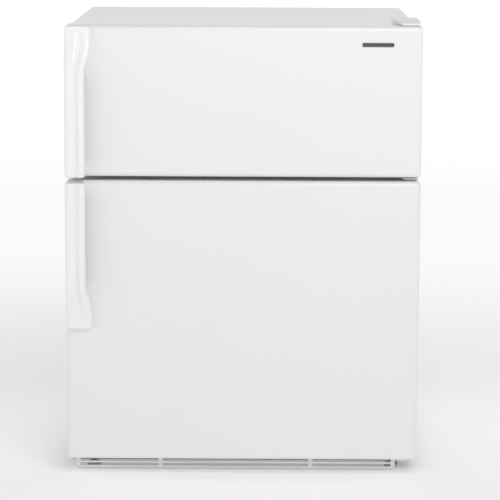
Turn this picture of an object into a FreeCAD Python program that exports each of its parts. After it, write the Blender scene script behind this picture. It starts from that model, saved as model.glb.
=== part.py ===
import FreeCAD, Part
import os
from math import cos, pi
from FreeCAD import Vector

# Top freezer refrigerator with two hinged doors. Millimetres.
# X is the width with the hinges at +X, Y runs from the doors at -Y to the
# back, and Z is up from the floor. The origin is under the middle of the
# whole outline, from the handles' fronts to the condenser's wires.

# Outside sizes
door_width = 711.0
door_overhang = 5.0            # how far a door passes the cabinet's side
door_thickness = 58.0
door_rise = 3.0                # door's top above the cabinet's top
door_gap = 8.0                 # between the two doors
door_floor_gap = 35.0          # floor to the fridge door's underside
freezer_door_height = 302.0
cabinet_depth = 612.0
cabinet_top = 915.0
deck_height = 36.0             # cabinet's underside above the floor
gasket_gap = 12.0              # door's back to the cabinet's front

# Walls
sheet = 1.2                    # steel sheet
liner_wall = 2.0
side_wall = 45.0               # outside face to the compartment
top_wall = 50.0
back_wall = 52.0
floor_wall = 45.0
mullion_thickness = 50.0       # between the two compartments
compartment_radius = 14.0
machine_depth = 205.0          # machine space at the bottom of the back
machine_height = 189.0

# Doors
door_edge_radius = 6.6
door_corner_radius = 7.0
door_plate = 2.5
dike_wall = 18.0
dike_depth = 22.0
dike_side_gap = 10.0
dike_end_gap = 8.0
gasket_width = 16.0
gasket_inset = 24.5            # cabinet's side to the gasket
gasket_lip_gap = 0.3
bin_wall = 2.5
bin_side_gap = 2.5             # dike to bin
bin_reach = 99.0               # door's back to a fridge bin's front
freezer_bin_reach = 82.0
dairy_reach = 91.0
bin_height = 70.0
freezer_bin_height = 52.5
bin_corner = 10.0
bin_middle_gap = 6.0           # middle bin to the dairy box
dairy_width = 165.0
dairy_height = 72.0
lid_thickness = 2.5
lid_pin_radius = 2.0
lid_axis_back = 7.0            # bin's back to the lid's axis
lid_axis_rise = 5.0
lid_lip = 16.0

# Hinges
pin_radius = 4.0
pin_clearance = 0.05
pin_inset = 22.0               # door's side to the pin
pin_from_back = 30.0           # door's back to the pin
pin_length = 17.0
hinge_leaf = 3.0
leaf_width = 32.0
leaf_reach = 12.0              # leaf beyond the pin
leaf_side_gap = 5.5            # door's side to the leaf
leaf_corner = 8.0
hinge_lift = 1.0               # freezer door's top to the top hinge's leaf
top_hinge_reach = 68.0         # cabinet's front to the top hinge's back
hinge_screw_side = 8.0         # middle of the leaf to its outer screws
hinge_screw_back = 14.0
hinge_screw_front = 38.0
strap_thickness = 2.5
strap_half_height = 16.0
bushing_radius = 9.0
bushing_length = 20.0
bushing_clearance = 0.1
cover_height = 8.0
cover_wall = 1.5
cover_nose = 4.5               # cover's height at its front edge
cover_front_slope = 40.0
cover_reach = 6.0              # cover beyond the leaf, front and back
cover_taper = 15.0             # how much wider the cover is on the cabinet
cover_taper_length = 78.0
cover_edge = 1.2
cover_side_gap = 4.0
screw_radius = 2.5
screw_head_radius = 4.5
screw_head = 2.4

# Handles
handle_width = 41.0
handle_proud = 38.0
handle_end_gap = 1.5           # handle's ends to the door's ends
handle_wall = 9.0
finger_depth = 24.0
finger_corner = 6.0
handle_foot = 22.0             # solid foot beside the gap between the doors
flare_length = 95.0            # grip's end to the handle's tip
flare_spread = 55.0            # how much of that it widens over
flare_corner = 8.0
flare_width = 52.0
flare_proud = 13.0
screw_sink = 10.0              # screw's reach into the handle

# Badge
badge_width = 63.0
badge_height = 8.0
badge_thickness = 1.6
badge_side = 58.0              # badge's end to the door's side
badge_drop = 37.0              # badge's middle to the door's top

# Base
rail_width = 26.0
rail_height = 20.0
rail_setback = 6.0             # cabinet's front to the rails
foot_radius = 14.0
foot_pad = 8.0
foot_edge = 1.5
foot_stud_radius = 5.0
thread_clearance = 0.08
foot_inset = 42.0              # cabinet's side to the foot
roller_radius = 17.0
roller_width = 18.0
roller_edge = 2.0
roller_gap = 1.0
axle_head = 2.0
axle_head_rim = 1.5
roller_inset = 60.0
roller_from_back = 40.0
axle_radius = 3.0
axle_clearance = 0.05
cheek = 2.5
grille_wall = 3.0
grille_bottom = 3.0
grille_door_gap = 4.0          # below the door's underside
grille_front_gap = 14.0        # in front of the cabinet
grille_left_gap = 12.0         # door's side to the grille's end
slot_corner = 2.2
slot_heights = (5.0, 7.0)      # lower row, upper row
slot_levels = (5.0, 14.5)      # grille's bottom to each row
slot_mullion = 9.0
end_bay_share = 0.265          # each end bay, of the grille's length

# Inside
shelf_ledge = 8.0
shelf_ledge_height = 7.0
ledge_front_gap = 108.0        # cabinet's front to the ledges and shelves
glass = 4.0
glass_side_gap = 4.0
glass_back_gap = 8.0
trim_height = 13.0
trim_depth = 14.0
crisper_wall = 2.5
crisper_side_gap = 19.5        # clears the compartment's round corners
crisper_middle_gap = 6.0
crisper_floor_gap = 0.5
crisper_top_gap = 8.0
crisper_lip = 12.0
crisper_corner = 6.0
crisper_step_gap = 8.0
crisper_lip_side = 40.0
step_cover = 2.0               # crisper cover's pads
wire_radius = 2.0
frame_wire_radius = 3.0
shelf_wires = 15
evaporator_space = 58.0
panel = 2.5
fan_radius = 48.0
fan_blades = 5
fan_clearance = 4.0
fan_drop = 26.0                # ceiling to the fan's rim
fan_hub = 13.0
fan_depth = 14.0
blade_pitch = 28.0
motor_radius = 20.0
motor_length = 24.0
shaft_radius = 3.0
fins = 26
fin = 1.0
evaporator_width = 440.0
evaporator_height = 84.0
evaporator_depth = 36.0
evaporator_tube = 4.0
evaporator_rise = 8.0          # freezer's floor to the fins
evaporator_back_gap = 8.0
tube_rows = (0.2, 0.5, 0.8)
header_reach = 12.0
housing_width = 200.0
housing_height = 42.0
housing_depth = 270.0
housing_front_gap = 33.0
knob_radius = 16.0
knob_length = 12.0
knob_spacing = 84.0
knob_gap = 0.6
plunger_radius = 4.0
plunger_reach = 20.0
plunger_inset = 22.0           # housing's side to the plunger
bulb_radius = 13.0
bulb_neck = 9.0
bulb_stand_off = 30.0
knob_skirt = 4.0
grip_share = 0.72              # knob's grip to its skirt
switch_rise = 6.0
knob_shift = 20.0              # knobs stand left of the middle

# Back
tube_radius = 2.5
coil_passes = 13
coil_half_width = 250.0
coil_stand_off = 17.0          # back panel to the tube's middle
coil_end_gap = 34.0            # coil to the ends of the back panel
wire_count = 21
condenser_wire = 0.8
bracket_width = 16.0
bracket_sheet = 2.0
bracket_foot = 12.0            # half the foot's height
bracket_spread = 0.8
wire_overrun = 10.0
compressor_radius = 74.0
compressor_height = 146.0
compressor_side = 118.0        # middle of the cabinet to the compressor
compressor_foot = 3.0
compressor_foot_x = 78.0       # middle to the feet's holes
compressor_foot_y = 52.0
foot_plate_edge = 12.0
compressor_round = 31.0
stub_radius = 4.0
grommet_height = 12.0
grommet_radius = 11.0
grommet_bore = 4.5
pan_length = 250.0
pan_width = 150.0
pan_height = 34.0
pan_wall = 2.0
pan_corner = 10.0
pan_start = 33.0               # middle of the cabinet to the pan
vent_rows = 6
vent_length = 120.0
vent_height = 5.0
vent_pitch = 16.0
vent_floor = 62.0              # cabinet's underside to the lowest vent
vent_columns = (-210.0, 0.0, 210.0)
gland_radius = 9.0
gland_bore = 4.5
gland_length = 12.0
gland_flange = 3.0
gland_inset = 32.0

# Levels worked out from the sizes above
cabinet_width = door_width - 2 * door_overhang
condenser_depth = coil_stand_off + tube_radius + 2 * condenser_wire
whole_depth = handle_proud + door_thickness + gasket_gap + cabinet_depth + condenser_depth
door_front = handle_proud - whole_depth / 2
door_back = door_front + door_thickness
cabinet_front = door_back + gasket_gap
cabinet_back = cabinet_front + cabinet_depth
door_side = door_width / 2
cabinet_side = cabinet_width / 2
shell_inside = cabinet_side - sheet
room_side = cabinet_side - side_wall

freezer_door_top = cabinet_top + door_rise
freezer_door_bottom = freezer_door_top - freezer_door_height
fridge_door_top = freezer_door_bottom - door_gap
fridge_door_bottom = door_floor_gap
mullion_middle = fridge_door_top + door_gap / 2
freezer_floor = mullion_middle + mullion_thickness / 2
freezer_ceiling = cabinet_top - top_wall
fridge_floor = deck_height + floor_wall
fridge_ceiling = mullion_middle - mullion_thickness / 2
room_back = cabinet_back - back_wall
machine_front = cabinet_back - machine_depth
machine_top = deck_height + machine_height
step_front = machine_front - floor_wall
step_top = machine_top + floor_wall

pin_x = door_side - pin_inset
pin_y = door_back - pin_from_back
leaf_low_x = door_side - leaf_side_gap - leaf_width
leaf_high_x = door_side - leaf_side_gap
leaf_front = pin_y - leaf_reach

shelf_front = cabinet_front + ledge_front_gap
cover_level = step_top + step_cover
cover_top = cover_level + glass
shelf_spacing = (fridge_ceiling - cover_top) / 3
shelf_levels = [cover_top + shelf_spacing - glass, cover_top + 2 * shelf_spacing - glass]
freezer_shelf_level = (freezer_floor + freezer_ceiling) / 2
evaporator_front = room_back - evaporator_space
dike_back = door_back + dike_depth
dike_side = room_side - dike_side_gap
bin_side = dike_side - dike_wall - bin_side_gap
bin_back = door_back + door_plate
dairy_floor = shelf_levels[1] - dairy_height + trim_height
housing_front = cabinet_front + housing_front_gap
housing_low = fridge_ceiling - housing_height
fan_x = 0.0
fan_z = freezer_ceiling - fan_radius - fan_drop
foot_x = cabinet_side - foot_inset
foot_y = cabinet_front + rail_setback + foot_radius + 1.0
roller_x = cabinet_side - roller_inset
roller_y = cabinet_back - roller_from_back
rail_low = deck_height - rail_height


# Shape helpers

def box(x, y, z):
    size = (x[1] - x[0], y[1] - y[0], z[1] - z[0])
    return Part.makeBox(*size, Vector(x[0], y[0], z[0]))


def rod(radius, start, end):
    start = Vector(*start)
    run = Vector(*end) - start
    return Part.makeCylinder(radius, run.Length, start, run)


def ring(radius, bore, start, end):
    return rod(radius, start, end).cut(rod(bore, start, end))


def fuse(shapes):
    return shapes[0].multiFuse(shapes[1:]).removeSplitter()


def cut(shape, tools):
    return shape.cut(list(tools))


def group(shapes):
    return Part.makeCompound(list(shapes))


def edges_along(shape, direction):
    wanted = Vector(*direction)
    found = []
    for edge in shape.Edges:
        run = edge.Vertexes[-1].Point - edge.Vertexes[0].Point
        if run.Length > 0 and run.cross(wanted).Length < 1e-6 * run.Length:
            found.append(edge)
    return found


def tunnel(x, y, z, radius):
    # A box whose four edges along Y are rounded.
    plain = box(x, y, z)
    return plain.makeFillet(radius, edges_along(plain, (0, 1, 0)))


def plate_from_side(points, x):
    # A sheet or block drawn as (y, z) points and as wide as x.
    corners = [Vector(x[0], y, z) for y, z in points]
    face = Part.Face(Part.makePolygon(corners + corners[:1]))
    return face.extrude(Vector(x[1] - x[0], 0, 0))


def round_edges(shape, radius):
    # The full circles of a rod.
    return [edge for edge in shape.Edges if edge.Length > 1.9 * pi * radius]


def both_sides(make):
    return [make(-1), make(1)]


def span(side, near, far):
    # An x range on one side of the middle: side is -1 or 1.
    return tuple(sorted((side * near, side * far)))


def save(name, shape):
    shape.exportStep("parts/" + name + ".step")


# Cabinet

def outer_cabinet_shell():
    outside = box((-cabinet_side, cabinet_side), (cabinet_front, cabinet_back),
                  (deck_height, cabinet_top))
    inside = box((-shell_inside, shell_inside), (cabinet_front + sheet, cabinet_back + sheet),
                 (deck_height - sheet, cabinet_top - sheet))
    window = box((-room_side - liner_wall, room_side + liner_wall),
                 (cabinet_front - sheet, cabinet_front + 2 * sheet),
                 (fridge_floor - liner_wall, freezer_ceiling + liner_wall))
    return cut(outside, [inside, window])


def back_panel():
    return box((-shell_inside, shell_inside), (cabinet_back - sheet, cabinet_back),
               (machine_top + sheet, cabinet_top - sheet))


def bottom_deck():
    # One folded sheet: under the fridge space, then up and over the machine space.
    outline = [(cabinet_front + sheet, deck_height), (machine_front, deck_height),
               (machine_front, machine_top), (cabinet_back - sheet, machine_top),
               (cabinet_back - sheet, machine_top + sheet), (machine_front - sheet, machine_top + sheet),
               (machine_front - sheet, deck_height + sheet), (cabinet_front + sheet, deck_height + sheet)]
    return plate_from_side(outline, (-shell_inside, shell_inside))


def room_outline(grow, low, high):
    # The room itself has round corners. Grown by the liner's wall it is square,
    # because the liner is thicker in its corners.
    x = (-room_side - grow, room_side + grow)
    y = (cabinet_front, room_back + grow)
    z = (low - grow, high + grow)
    if grow > 0:
        return box(x, y, z)
    return tunnel(x, y, z, compartment_radius)


def freezer_room(grow):
    return room_outline(grow, freezer_floor, freezer_ceiling)


def fridge_room(grow):
    step = box((-cabinet_side, cabinet_side), (step_front + grow, cabinet_back), (0, step_top - grow))
    return room_outline(grow, fridge_floor, fridge_ceiling).cut(step)


def shelf_ledges(level, back):
    return both_sides(lambda side: box(
        span(side, room_side - shelf_ledge, room_side + liner_wall / 2),
        (shelf_front, back), (level - shelf_ledge_height, level)))


def freezer_liner():
    shell = freezer_room(liner_wall).cut(freezer_room(0))
    ledges = shelf_ledges(freezer_shelf_level - frame_wire_radius, evaporator_front - glass_back_gap)
    return fuse([shell] + ledges)


def fridge_liner():
    shell = fridge_room(liner_wall).cut(fridge_room(0))
    ledges = shelf_ledges(cover_level, step_front - glass_back_gap)
    for level in shelf_levels:
        ledges += shelf_ledges(level, room_back - glass_back_gap)
    return fuse([shell] + ledges)


def foam_insulation():
    low = deck_height + sheet
    outline = [(cabinet_front + sheet, low), (machine_front - sheet, low),
               (machine_front - sheet, machine_top + sheet), (cabinet_back - sheet, machine_top + sheet),
               (cabinet_back - sheet, cabinet_top - sheet), (cabinet_front + sheet, cabinet_top - sheet)]
    block = plate_from_side(outline, (-shell_inside, shell_inside))
    return cut(block, [freezer_room(liner_wall), fridge_room(liner_wall)])


def mullion_trim():
    strip = box((-room_side - liner_wall, room_side + liner_wall), (cabinet_front, cabinet_front + sheet),
                (fridge_ceiling - compartment_radius, freezer_floor + compartment_radius))
    return cut(strip, [freezer_room(liner_wall), fridge_room(liner_wall)])


# Base

def side_rail(side):
    bar = box(span(side, cabinet_side - rail_width, cabinet_side),
              (cabinet_front + rail_setback, cabinet_back - sheet), (rail_low, deck_height))
    hollow = box(span(side, cabinet_side - 2 * rail_width, cabinet_side - sheet * 2),
                 (cabinet_front + rail_setback + rail_width, cabinet_back),
                 (rail_low + 2 * sheet, deck_height - 2 * sheet))
    return bar.cut(hollow)


def roller_cheeks(side):
    middle = side * roller_x
    reach = roller_width / 2 + roller_gap
    cheeks = []
    for low in (middle - reach - cheek, middle + reach):
        plate = box((low, low + cheek), (roller_y - roller_radius, roller_y + roller_radius),
                    (roller_radius - 2.5 * axle_radius, deck_height))
        hole = rod(axle_radius + axle_clearance, (low - 1, roller_y, roller_radius),
                   (low + cheek + 1, roller_y, roller_radius))
        cheeks.append(plate.cut(hole))
    return cheeks


def foot_place(side, level):
    return (side * foot_x, foot_y, level)


def base_frame():
    front_bar = box((-cabinet_side, cabinet_side),
                    (cabinet_front + rail_setback, cabinet_front + rail_setback + rail_width),
                    (rail_low, deck_height))
    tray = box((-cabinet_side, cabinet_side), (machine_front, cabinet_back - sheet),
               (deck_height - 2 * sheet, deck_height))
    pieces = [front_bar, tray] + both_sides(side_rail)
    for side in (-1, 1):
        pieces += roller_cheeks(side)
    frame = fuse(pieces)
    holes = both_sides(lambda side: rod(foot_stud_radius + thread_clearance, foot_place(side, 0),
                                        foot_place(side, deck_height + 1)))
    wheel_room = both_sides(lambda side: box(
        span(side, roller_x - roller_width / 2 - 1, roller_x + roller_width / 2 + 1),
        (roller_y - roller_radius - 2, roller_y + roller_radius + 2), (0, deck_height + 1)))
    return cut(frame, holes + wheel_room)


def leveling_foot(side):
    pad = rod(foot_radius, foot_place(side, 0), foot_place(side, foot_pad))
    pad = pad.makeFillet(foot_edge, round_edges(pad, foot_radius))
    stud = rod(foot_stud_radius, foot_place(side, foot_pad / 2), foot_place(side, deck_height - 3))
    return fuse([pad, stud])


def rear_roller(side):
    middle = side * roller_x
    start = (middle - roller_width / 2, roller_y, roller_radius)
    end = (middle + roller_width / 2, roller_y, roller_radius)
    wheel = rod(roller_radius, start, end)
    wheel = wheel.makeFillet(roller_edge, round_edges(wheel, roller_radius))
    return wheel.cut(rod(axle_radius + axle_clearance, start, end))


def roller_axle(side):
    reach = roller_width / 2 + roller_gap + cheek
    middle = side * roller_x

    def place(along):
        return (middle + along, roller_y, roller_radius)

    shaft = rod(axle_radius, place(-reach), place(reach))
    heads = [rod(axle_radius + axle_head_rim, place(end * reach), place(end * (reach + axle_head)))
             for end in (-1, 1)]
    return fuse([shaft] + heads)


def toe_grille():
    left = -door_side + grille_left_gap
    right = leaf_low_x - grille_wall
    top = door_floor_gap - grille_door_gap
    front = cabinet_front - grille_front_gap
    face = box((left, right), (front, front + grille_wall), (grille_bottom, top))
    shelf = box((left, right), (front, cabinet_front + rail_setback), (top - grille_wall, top))
    end_bay = (right - left) * end_bay_share
    posts = [left + slot_mullion / 2, left + end_bay, right - end_bay, right - slot_mullion / 2]
    slots = []
    for height, level in zip(slot_heights, slot_levels):
        low = grille_bottom + level
        for start, end in zip(posts, posts[1:]):
            slot = box((start + slot_mullion / 2, end - slot_mullion / 2),
                       (front - 1, front + grille_wall + 1), (low, low + height))
            slots.append(slot.makeFillet(slot_corner, edges_along(slot, (0, 1, 0))))
    ends = [box((x, x + grille_wall), (front, cabinet_front + rail_setback), (grille_bottom, top))
            for x in (left, right - grille_wall)]
    return cut(fuse([face, shelf] + ends), slots)


# Hinges

def hinge_leaf_plate(low, back):
    plate = box((leaf_low_x, leaf_high_x), (leaf_front, back), (low, low + hinge_leaf))
    front_edges = [edge for edge in edges_along(plate, (0, 0, 1))
                   if edge.Vertexes[0].Y < leaf_front + 1]
    return plate.makeFillet(leaf_corner, front_edges)


def hinge_pin(start, end):
    return rod(pin_radius, (pin_x, pin_y, start), (pin_x, pin_y, end))


def top_hinge_back():
    return cabinet_front + top_hinge_reach


def hinge_screw_places():
    middle = (leaf_low_x + leaf_high_x) / 2
    back = top_hinge_back()
    return [(middle - hinge_screw_side, back - hinge_screw_back),
            (middle + hinge_screw_side, back - hinge_screw_back),
            (middle, back - hinge_screw_front)]


def top_hinge():
    low = freezer_door_top + hinge_lift
    leaf = hinge_leaf_plate(low, top_hinge_back())
    pad = box((leaf_low_x, leaf_high_x), (cabinet_front + gasket_gap + 2.0, top_hinge_back()),
              (cabinet_top, low + 1))
    pin = hinge_pin(freezer_door_top - pin_length, low + 1)
    holes = [rod(screw_radius + bushing_clearance, (x, y, cabinet_top - 1),
                 (x, y, low + hinge_leaf + 1)) for x, y in hinge_screw_places()]
    return cut(fuse([leaf, pad, pin]), holes)


def hinge_screws():
    level = freezer_door_top + hinge_lift + hinge_leaf
    screws = []
    for x, y in hinge_screw_places():
        head = rod(screw_head_radius, (x, y, level), (x, y, level + screw_head))
        shank = rod(screw_radius, (x, y, cabinet_top), (x, y, level + 1))
        screws.append(fuse([head, shank]))
    return group(screws)


def cover_block(inset, low, top, nose):
    # A wedge that rises from the front, narrower over the door than on the cabinet.
    side = leaf_high_x + 1.0 - inset
    inner = leaf_low_x - cover_side_gap + inset
    wide = inner - cover_taper
    front = leaf_front - cover_reach + inset
    back = top_hinge_back() + cover_reach - inset
    profile = [(front, low), (front, nose), (front + cover_front_slope, top), (back, top), (back, low)]
    wedge = plate_from_side(profile, (wide, side))
    plan = [Vector(side, front, low), Vector(inner, front, low),
            Vector(wide, front + cover_taper_length, low), Vector(wide, back, low), Vector(side, back, low)]
    column = Part.Face(Part.makePolygon(plan + plan[:1])).extrude(Vector(0, 0, top - low))
    return wedge.common(column)


def top_hinge_cover():
    low = freezer_door_top + hinge_lift
    top = low + cover_height
    outside = cover_block(0, low, top, low + cover_nose)
    rims = [edge for edge in outside.Edges if all(vertex.Z > low + 1 for vertex in edge.Vertexes)]
    outside = outside.makeFillet(cover_edge, rims)
    hollow = cover_block(cover_wall, low - 1, top - cover_wall, low + cover_nose - 1)
    hinge_room = box((leaf_low_x - 0.5, leaf_high_x + 0.5), (leaf_front - 0.5, top_hinge_back() + 0.5),
                     (low - 1, low + hinge_leaf + 0.5))
    return cut(outside, [hollow, hinge_room])


def center_hinge():
    low = mullion_middle - hinge_leaf / 2
    leaf = hinge_leaf_plate(low, cabinet_front)
    strap = box((pin_x - hinge_leaf, leaf_high_x - 1.0), (cabinet_front - strap_thickness, cabinet_front),
                (mullion_middle - strap_half_height, mullion_middle + strap_half_height))
    pin = hinge_pin(fridge_door_top - pin_length, freezer_door_bottom + pin_length)
    return fuse([leaf, strap, pin])


def bottom_hinge():
    low = fridge_door_bottom - 2 * hinge_lift - hinge_leaf
    back = cabinet_front + rail_setback
    leaf = hinge_leaf_plate(low, back)
    strap = box((leaf_low_x, leaf_high_x), (back - hinge_leaf, back), (rail_low, low + hinge_leaf))
    pin = hinge_pin(low + hinge_leaf / 2, fridge_door_bottom + pin_length)
    return fuse([leaf, strap, pin])


# Doors: low and high are a door's underside and top

def door_block(low, high):
    block = box((-door_side, door_side), (door_front, door_back), (low, high))
    corners = edges_along(block, (0, 1, 0))
    block = block.makeFillet(door_corner_radius, corners)
    front_edges = [edge for edge in block.Edges
                   if all(abs(vertex.Y - door_front) < 0.01 for vertex in edge.Vertexes)]
    return block.makeFillet(door_edge_radius, front_edges)


def bushing_span(low, high):
    return [(low, low + bushing_length), (high - bushing_length, high)]


def bushing_rooms(low, high):
    return [rod(bushing_radius + bushing_clearance, (pin_x, pin_y, start), (pin_x, pin_y, end))
            for start, end in bushing_span(low, high)]


def door_skin(low, high, screws):
    inside = box((-door_side + sheet, door_side - sheet), (door_front + sheet, door_back + 1),
                 (low + sheet, high - sheet))
    inside = inside.makeFillet(door_corner_radius - sheet, edges_along(inside, (0, 1, 0)))
    front_edges = [edge for edge in inside.Edges
                   if all(abs(vertex.Y - door_front - sheet) < 0.01 for vertex in edge.Vertexes)]
    inside = inside.makeFillet(door_edge_radius - sheet, front_edges)
    return cut(door_block(low, high), [inside] + bushing_rooms(low, high) + screw_rooms(screws))


def door_foam(low, high, screws):
    skin_inside = cut(door_block(low, high), [door_skin(low, high, screws)])
    solid = max(skin_inside.Solids, key=lambda one: one.Volume)
    plate = box((-door_side, door_side), (door_back - door_plate, door_back + 1), (low, high))
    return cut(solid, [plate] + bushing_rooms(low, high) + screw_rooms(screws))


def hinge_bushings(low, high):
    # Plastic bearings for the pins, open at the door's underside and top.
    bushings = []
    bores = [(low - 1, low + pin_length + 1), (high - pin_length - 1, high + 1)]
    for (start, end), bore in zip(bushing_span(low, high), bores):
        body = rod(bushing_radius, (pin_x, pin_y, start), (pin_x, pin_y, end))
        hole = rod(pin_radius + pin_clearance, (pin_x, pin_y, bore[0]), (pin_x, pin_y, bore[1]))
        bushings.append(body.cut(hole))
    return group(bushings)


def door_liner(low, high, room_low, room_high):
    inset = sheet + 0.3
    plate = box((-door_side + inset, door_side - inset), (door_back - door_plate, door_back),
                (low + inset, high - inset))
    plate = plate.makeFillet(door_corner_radius - inset, edges_along(plate, (0, 1, 0)))
    dike_low = room_low + dike_end_gap
    dike_high = room_high - dike_end_gap
    outer = tunnel((-dike_side, dike_side), (door_back - 1, dike_back), (dike_low, dike_high),
                   compartment_radius)
    pocket = tunnel((-dike_side + dike_wall, dike_side - dike_wall), (door_back, dike_back + 1),
                    (dike_low + dike_wall, dike_high - dike_wall), compartment_radius / 2)
    rooms = bushing_rooms(low, high)
    return cut(fuse([plate, outer]), [pocket] + rooms)


def door_gasket(room_low, room_high, low, high):
    x_out = cabinet_side - gasket_inset
    z_low = max(room_low - liner_wall - gasket_width, low + 3)
    z_high = min(room_high + liner_wall + gasket_width, high - 3)
    back = cabinet_front - gasket_lip_gap
    outer = tunnel((-x_out, x_out), (door_back, back), (z_low, z_high), 6.0)
    inner = tunnel((-x_out + gasket_width, x_out - gasket_width), (door_back - 1, back + 1),
                   (z_low + gasket_width, z_high - gasket_width), 4.0)
    band = tunnel((-x_out - 1, x_out + 1), (door_back + 4, door_back + 6), (z_low - 1, z_high + 1), 6.0)
    core = tunnel((-x_out + 3, x_out - 3), (door_back + 3, door_back + 7), (z_low + 3, z_high - 3), 5.0)
    groove = cut(band, [core])
    return cut(outer, [inner, groove])


def front_uprights(shape, front):
    # The upright edges at the side that faces into the cabinet.
    return [edge for edge in edges_along(shape, (0, 0, 1)) if edge.Vertexes[0].Y > front - 1]


def open_bin(x, reach, low, height):
    front = door_back + reach
    outside = box(x, (bin_back, front), (low, low + height))
    outside = outside.makeFillet(bin_corner, front_uprights(outside, front))
    inside = box((x[0] + bin_wall, x[1] - bin_wall), (bin_back + bin_wall, front - bin_wall),
                 (low + bin_wall, low + height + 1))
    inside = inside.makeFillet(bin_corner - bin_wall, front_uprights(inside, front - bin_wall))
    return outside.cut(inside)


def freezer_bin_levels():
    gap = (freezer_ceiling - freezer_floor) / 2
    first = freezer_floor + dike_end_gap + dike_wall + 2.0
    return [first, first + gap - 12.0]


def freezer_door_bins():
    return group([open_bin((-bin_side, bin_side), freezer_bin_reach, level, freezer_bin_height)
                  for level in freezer_bin_levels()])


def bottle_bin_floor():
    return cover_top + 8.0


def fridge_door_bins():
    bottle = open_bin((-bin_side, bin_side), bin_reach, bottle_bin_floor(), bin_height)
    middle_x = (-bin_side, bin_side - dairy_width - bin_middle_gap)
    middle = open_bin(middle_x, bin_reach, dairy_floor, bin_height)
    return group([bottle, middle, dairy_box()])


def dairy_axis():
    return (bin_back + lid_axis_back, dairy_floor + dairy_height + lid_axis_rise)


def dairy_ends():
    return (bin_side - dairy_width, bin_side)


def dairy_box():
    low_x, high_x = dairy_ends()
    body = open_bin((low_x, high_x), dairy_reach, dairy_floor, dairy_height)
    y, z = dairy_axis()
    ears = []
    for start in (low_x, high_x - bin_wall):
        ear = box((start, start + bin_wall), (bin_back, y + lid_axis_rise),
                  (dairy_floor + dairy_height - 2, z + lid_axis_rise))
        ears.append(ear)
    hole = rod(lid_pin_radius + pin_clearance, (low_x - 1, y, z), (high_x + 1, y, z))
    return cut(fuse([body] + ears), [hole])


def dairy_lid():
    low_x, high_x = dairy_ends()
    y, z = dairy_axis()
    front = door_back + dairy_reach + 0.8
    low = dairy_floor + dairy_height + 0.3
    top = low + 2.0 + lid_thickness
    inner = (low_x + bin_wall + 0.4, high_x - bin_wall - 0.4)
    narrow = box(inner, (y - lid_pin_radius, front), (low + 2.0, top))
    wide = box((low_x, high_x), (y + 8.0, front), (low, top))
    lip = box((low_x, high_x), (front, front + lid_thickness), (low - lid_lip, top))
    barrel = rod(lid_pin_radius + 1.8, (inner[0], y, z), (inner[1], y, z))
    pin = rod(lid_pin_radius, (low_x, y, z), (high_x, y, z))
    return fuse([narrow, wide, lip, barrel, pin])


# Handles: near is the end beside the gap between the doors, and direction is
# the way along Z that the handle runs from it

def handle_outline(width, proud, level):
    # The closed section: an upright outer side, a rounded crown with a shallow
    # groove along it, and a lip that turns back to the door.
    def place(across, out):
        return Vector(-door_side + across * width, door_front - out * proud, level)

    crown = [(0.0, 0.62), (0.035, 0.80), (0.13, 0.945), (0.27, 0.997), (0.42, 0.99), (0.55, 0.945),
             (0.64, 0.93), (0.76, 0.965), (0.88, 0.94), (0.965, 0.85), (1.0, 0.70)]
    points = [place(across, out) for across, out in crown]
    curve = Part.BSplineCurve()
    curve.interpolate(points, InitialTangent=Vector(0, -1, 0), FinalTangent=Vector(0, 1, 0))
    base = [place(0.0, 0.0), place(1.0, 0.0)]
    return Part.Wire([Part.makeLine(base[0], points[0]), curve.toShape(),
                      Part.makeLine(points[-1], base[1]), Part.makeLine(base[1], base[0])])


def handle(near, direction):
    length = freezer_door_height - 2 * handle_end_gap
    grip = length - flare_length
    start = handle_outline(handle_width, handle_proud, near)
    body = Part.Face(start).extrude(Vector(0, 0, direction * grip))
    steps = 8
    sections = []
    for step in range(steps + 1):
        part = step / steps
        spread = min(1, flare_length * part / flare_spread)
        width = handle_width + (flare_width - handle_width) * (1 - cos(pi * spread)) / 2
        proud = handle_proud + (flare_proud - handle_proud) * (1 - cos(pi * part)) / 2
        sections.append(handle_outline(width, proud, near + direction * (grip + flare_length * part)))
    flare = Part.makeLoft(sections, True, False)
    tip = near + direction * length
    blank = box((-door_side, -door_side + flare_width), (door_front - handle_proud, door_front),
                sorted((near, tip)))
    tip_corners = [edge for edge in edges_along(blank, (0, 1, 0)) if abs(edge.Vertexes[0].Z - tip) < 1]
    blank = blank.makeFillet(flare_corner, tip_corners)
    hollow_ends = sorted((near + direction * handle_foot, near + direction * (grip - 4.0)))
    hollow = box((-door_side + handle_wall, -door_side + 2 * handle_width),
                 (door_front - finger_depth, door_front + 1), hollow_ends)
    inner_corner = [edge for edge in edges_along(hollow, (0, 0, 1))
                    if edge.Vertexes[0].Y < door_front - 1
                    and edge.Vertexes[0].X < -door_side + handle_wall + 1]
    hollow = hollow.makeFillet(finger_corner, inner_corner)
    solid = cut(fuse([body, flare]).common(blank), [hollow])
    return cut(solid, screw_rooms(handle_screw_levels(near, direction)))


def handle_screw_levels(near, direction):
    length = freezer_door_height - 2 * handle_end_gap
    return [near + direction * handle_foot / 2, near + direction * (length - flare_length * 0.55)]


def screw_parts(level, grow):
    # Shank and head of a screw that comes from inside the door; grow widens
    # them for the holes.
    x = -door_side + handle_width / 2
    under_head = door_front + sheet
    shank = rod(screw_radius + grow, (x, door_front - screw_sink, level), (x, under_head + 1, level))
    head = rod(screw_head_radius + grow, (x, under_head, level), (x, under_head + screw_head, level))
    return [shank, head]


def screw_rooms(levels):
    rooms = []
    for level in levels:
        rooms += screw_parts(level, pin_clearance)
    return rooms


def handle_screws(levels):
    return group([fuse(screw_parts(level, 0)) for level in levels])


def badge_plate():
    right = door_side - badge_side
    middle = freezer_door_top - badge_drop
    plate = box((right - badge_width, right), (door_front - badge_thickness, door_front),
                (middle - badge_height / 2, middle + badge_height / 2))
    return plate.makeFillet(2.0, edges_along(plate, (0, 1, 0)))


# Inside the compartments

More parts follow.
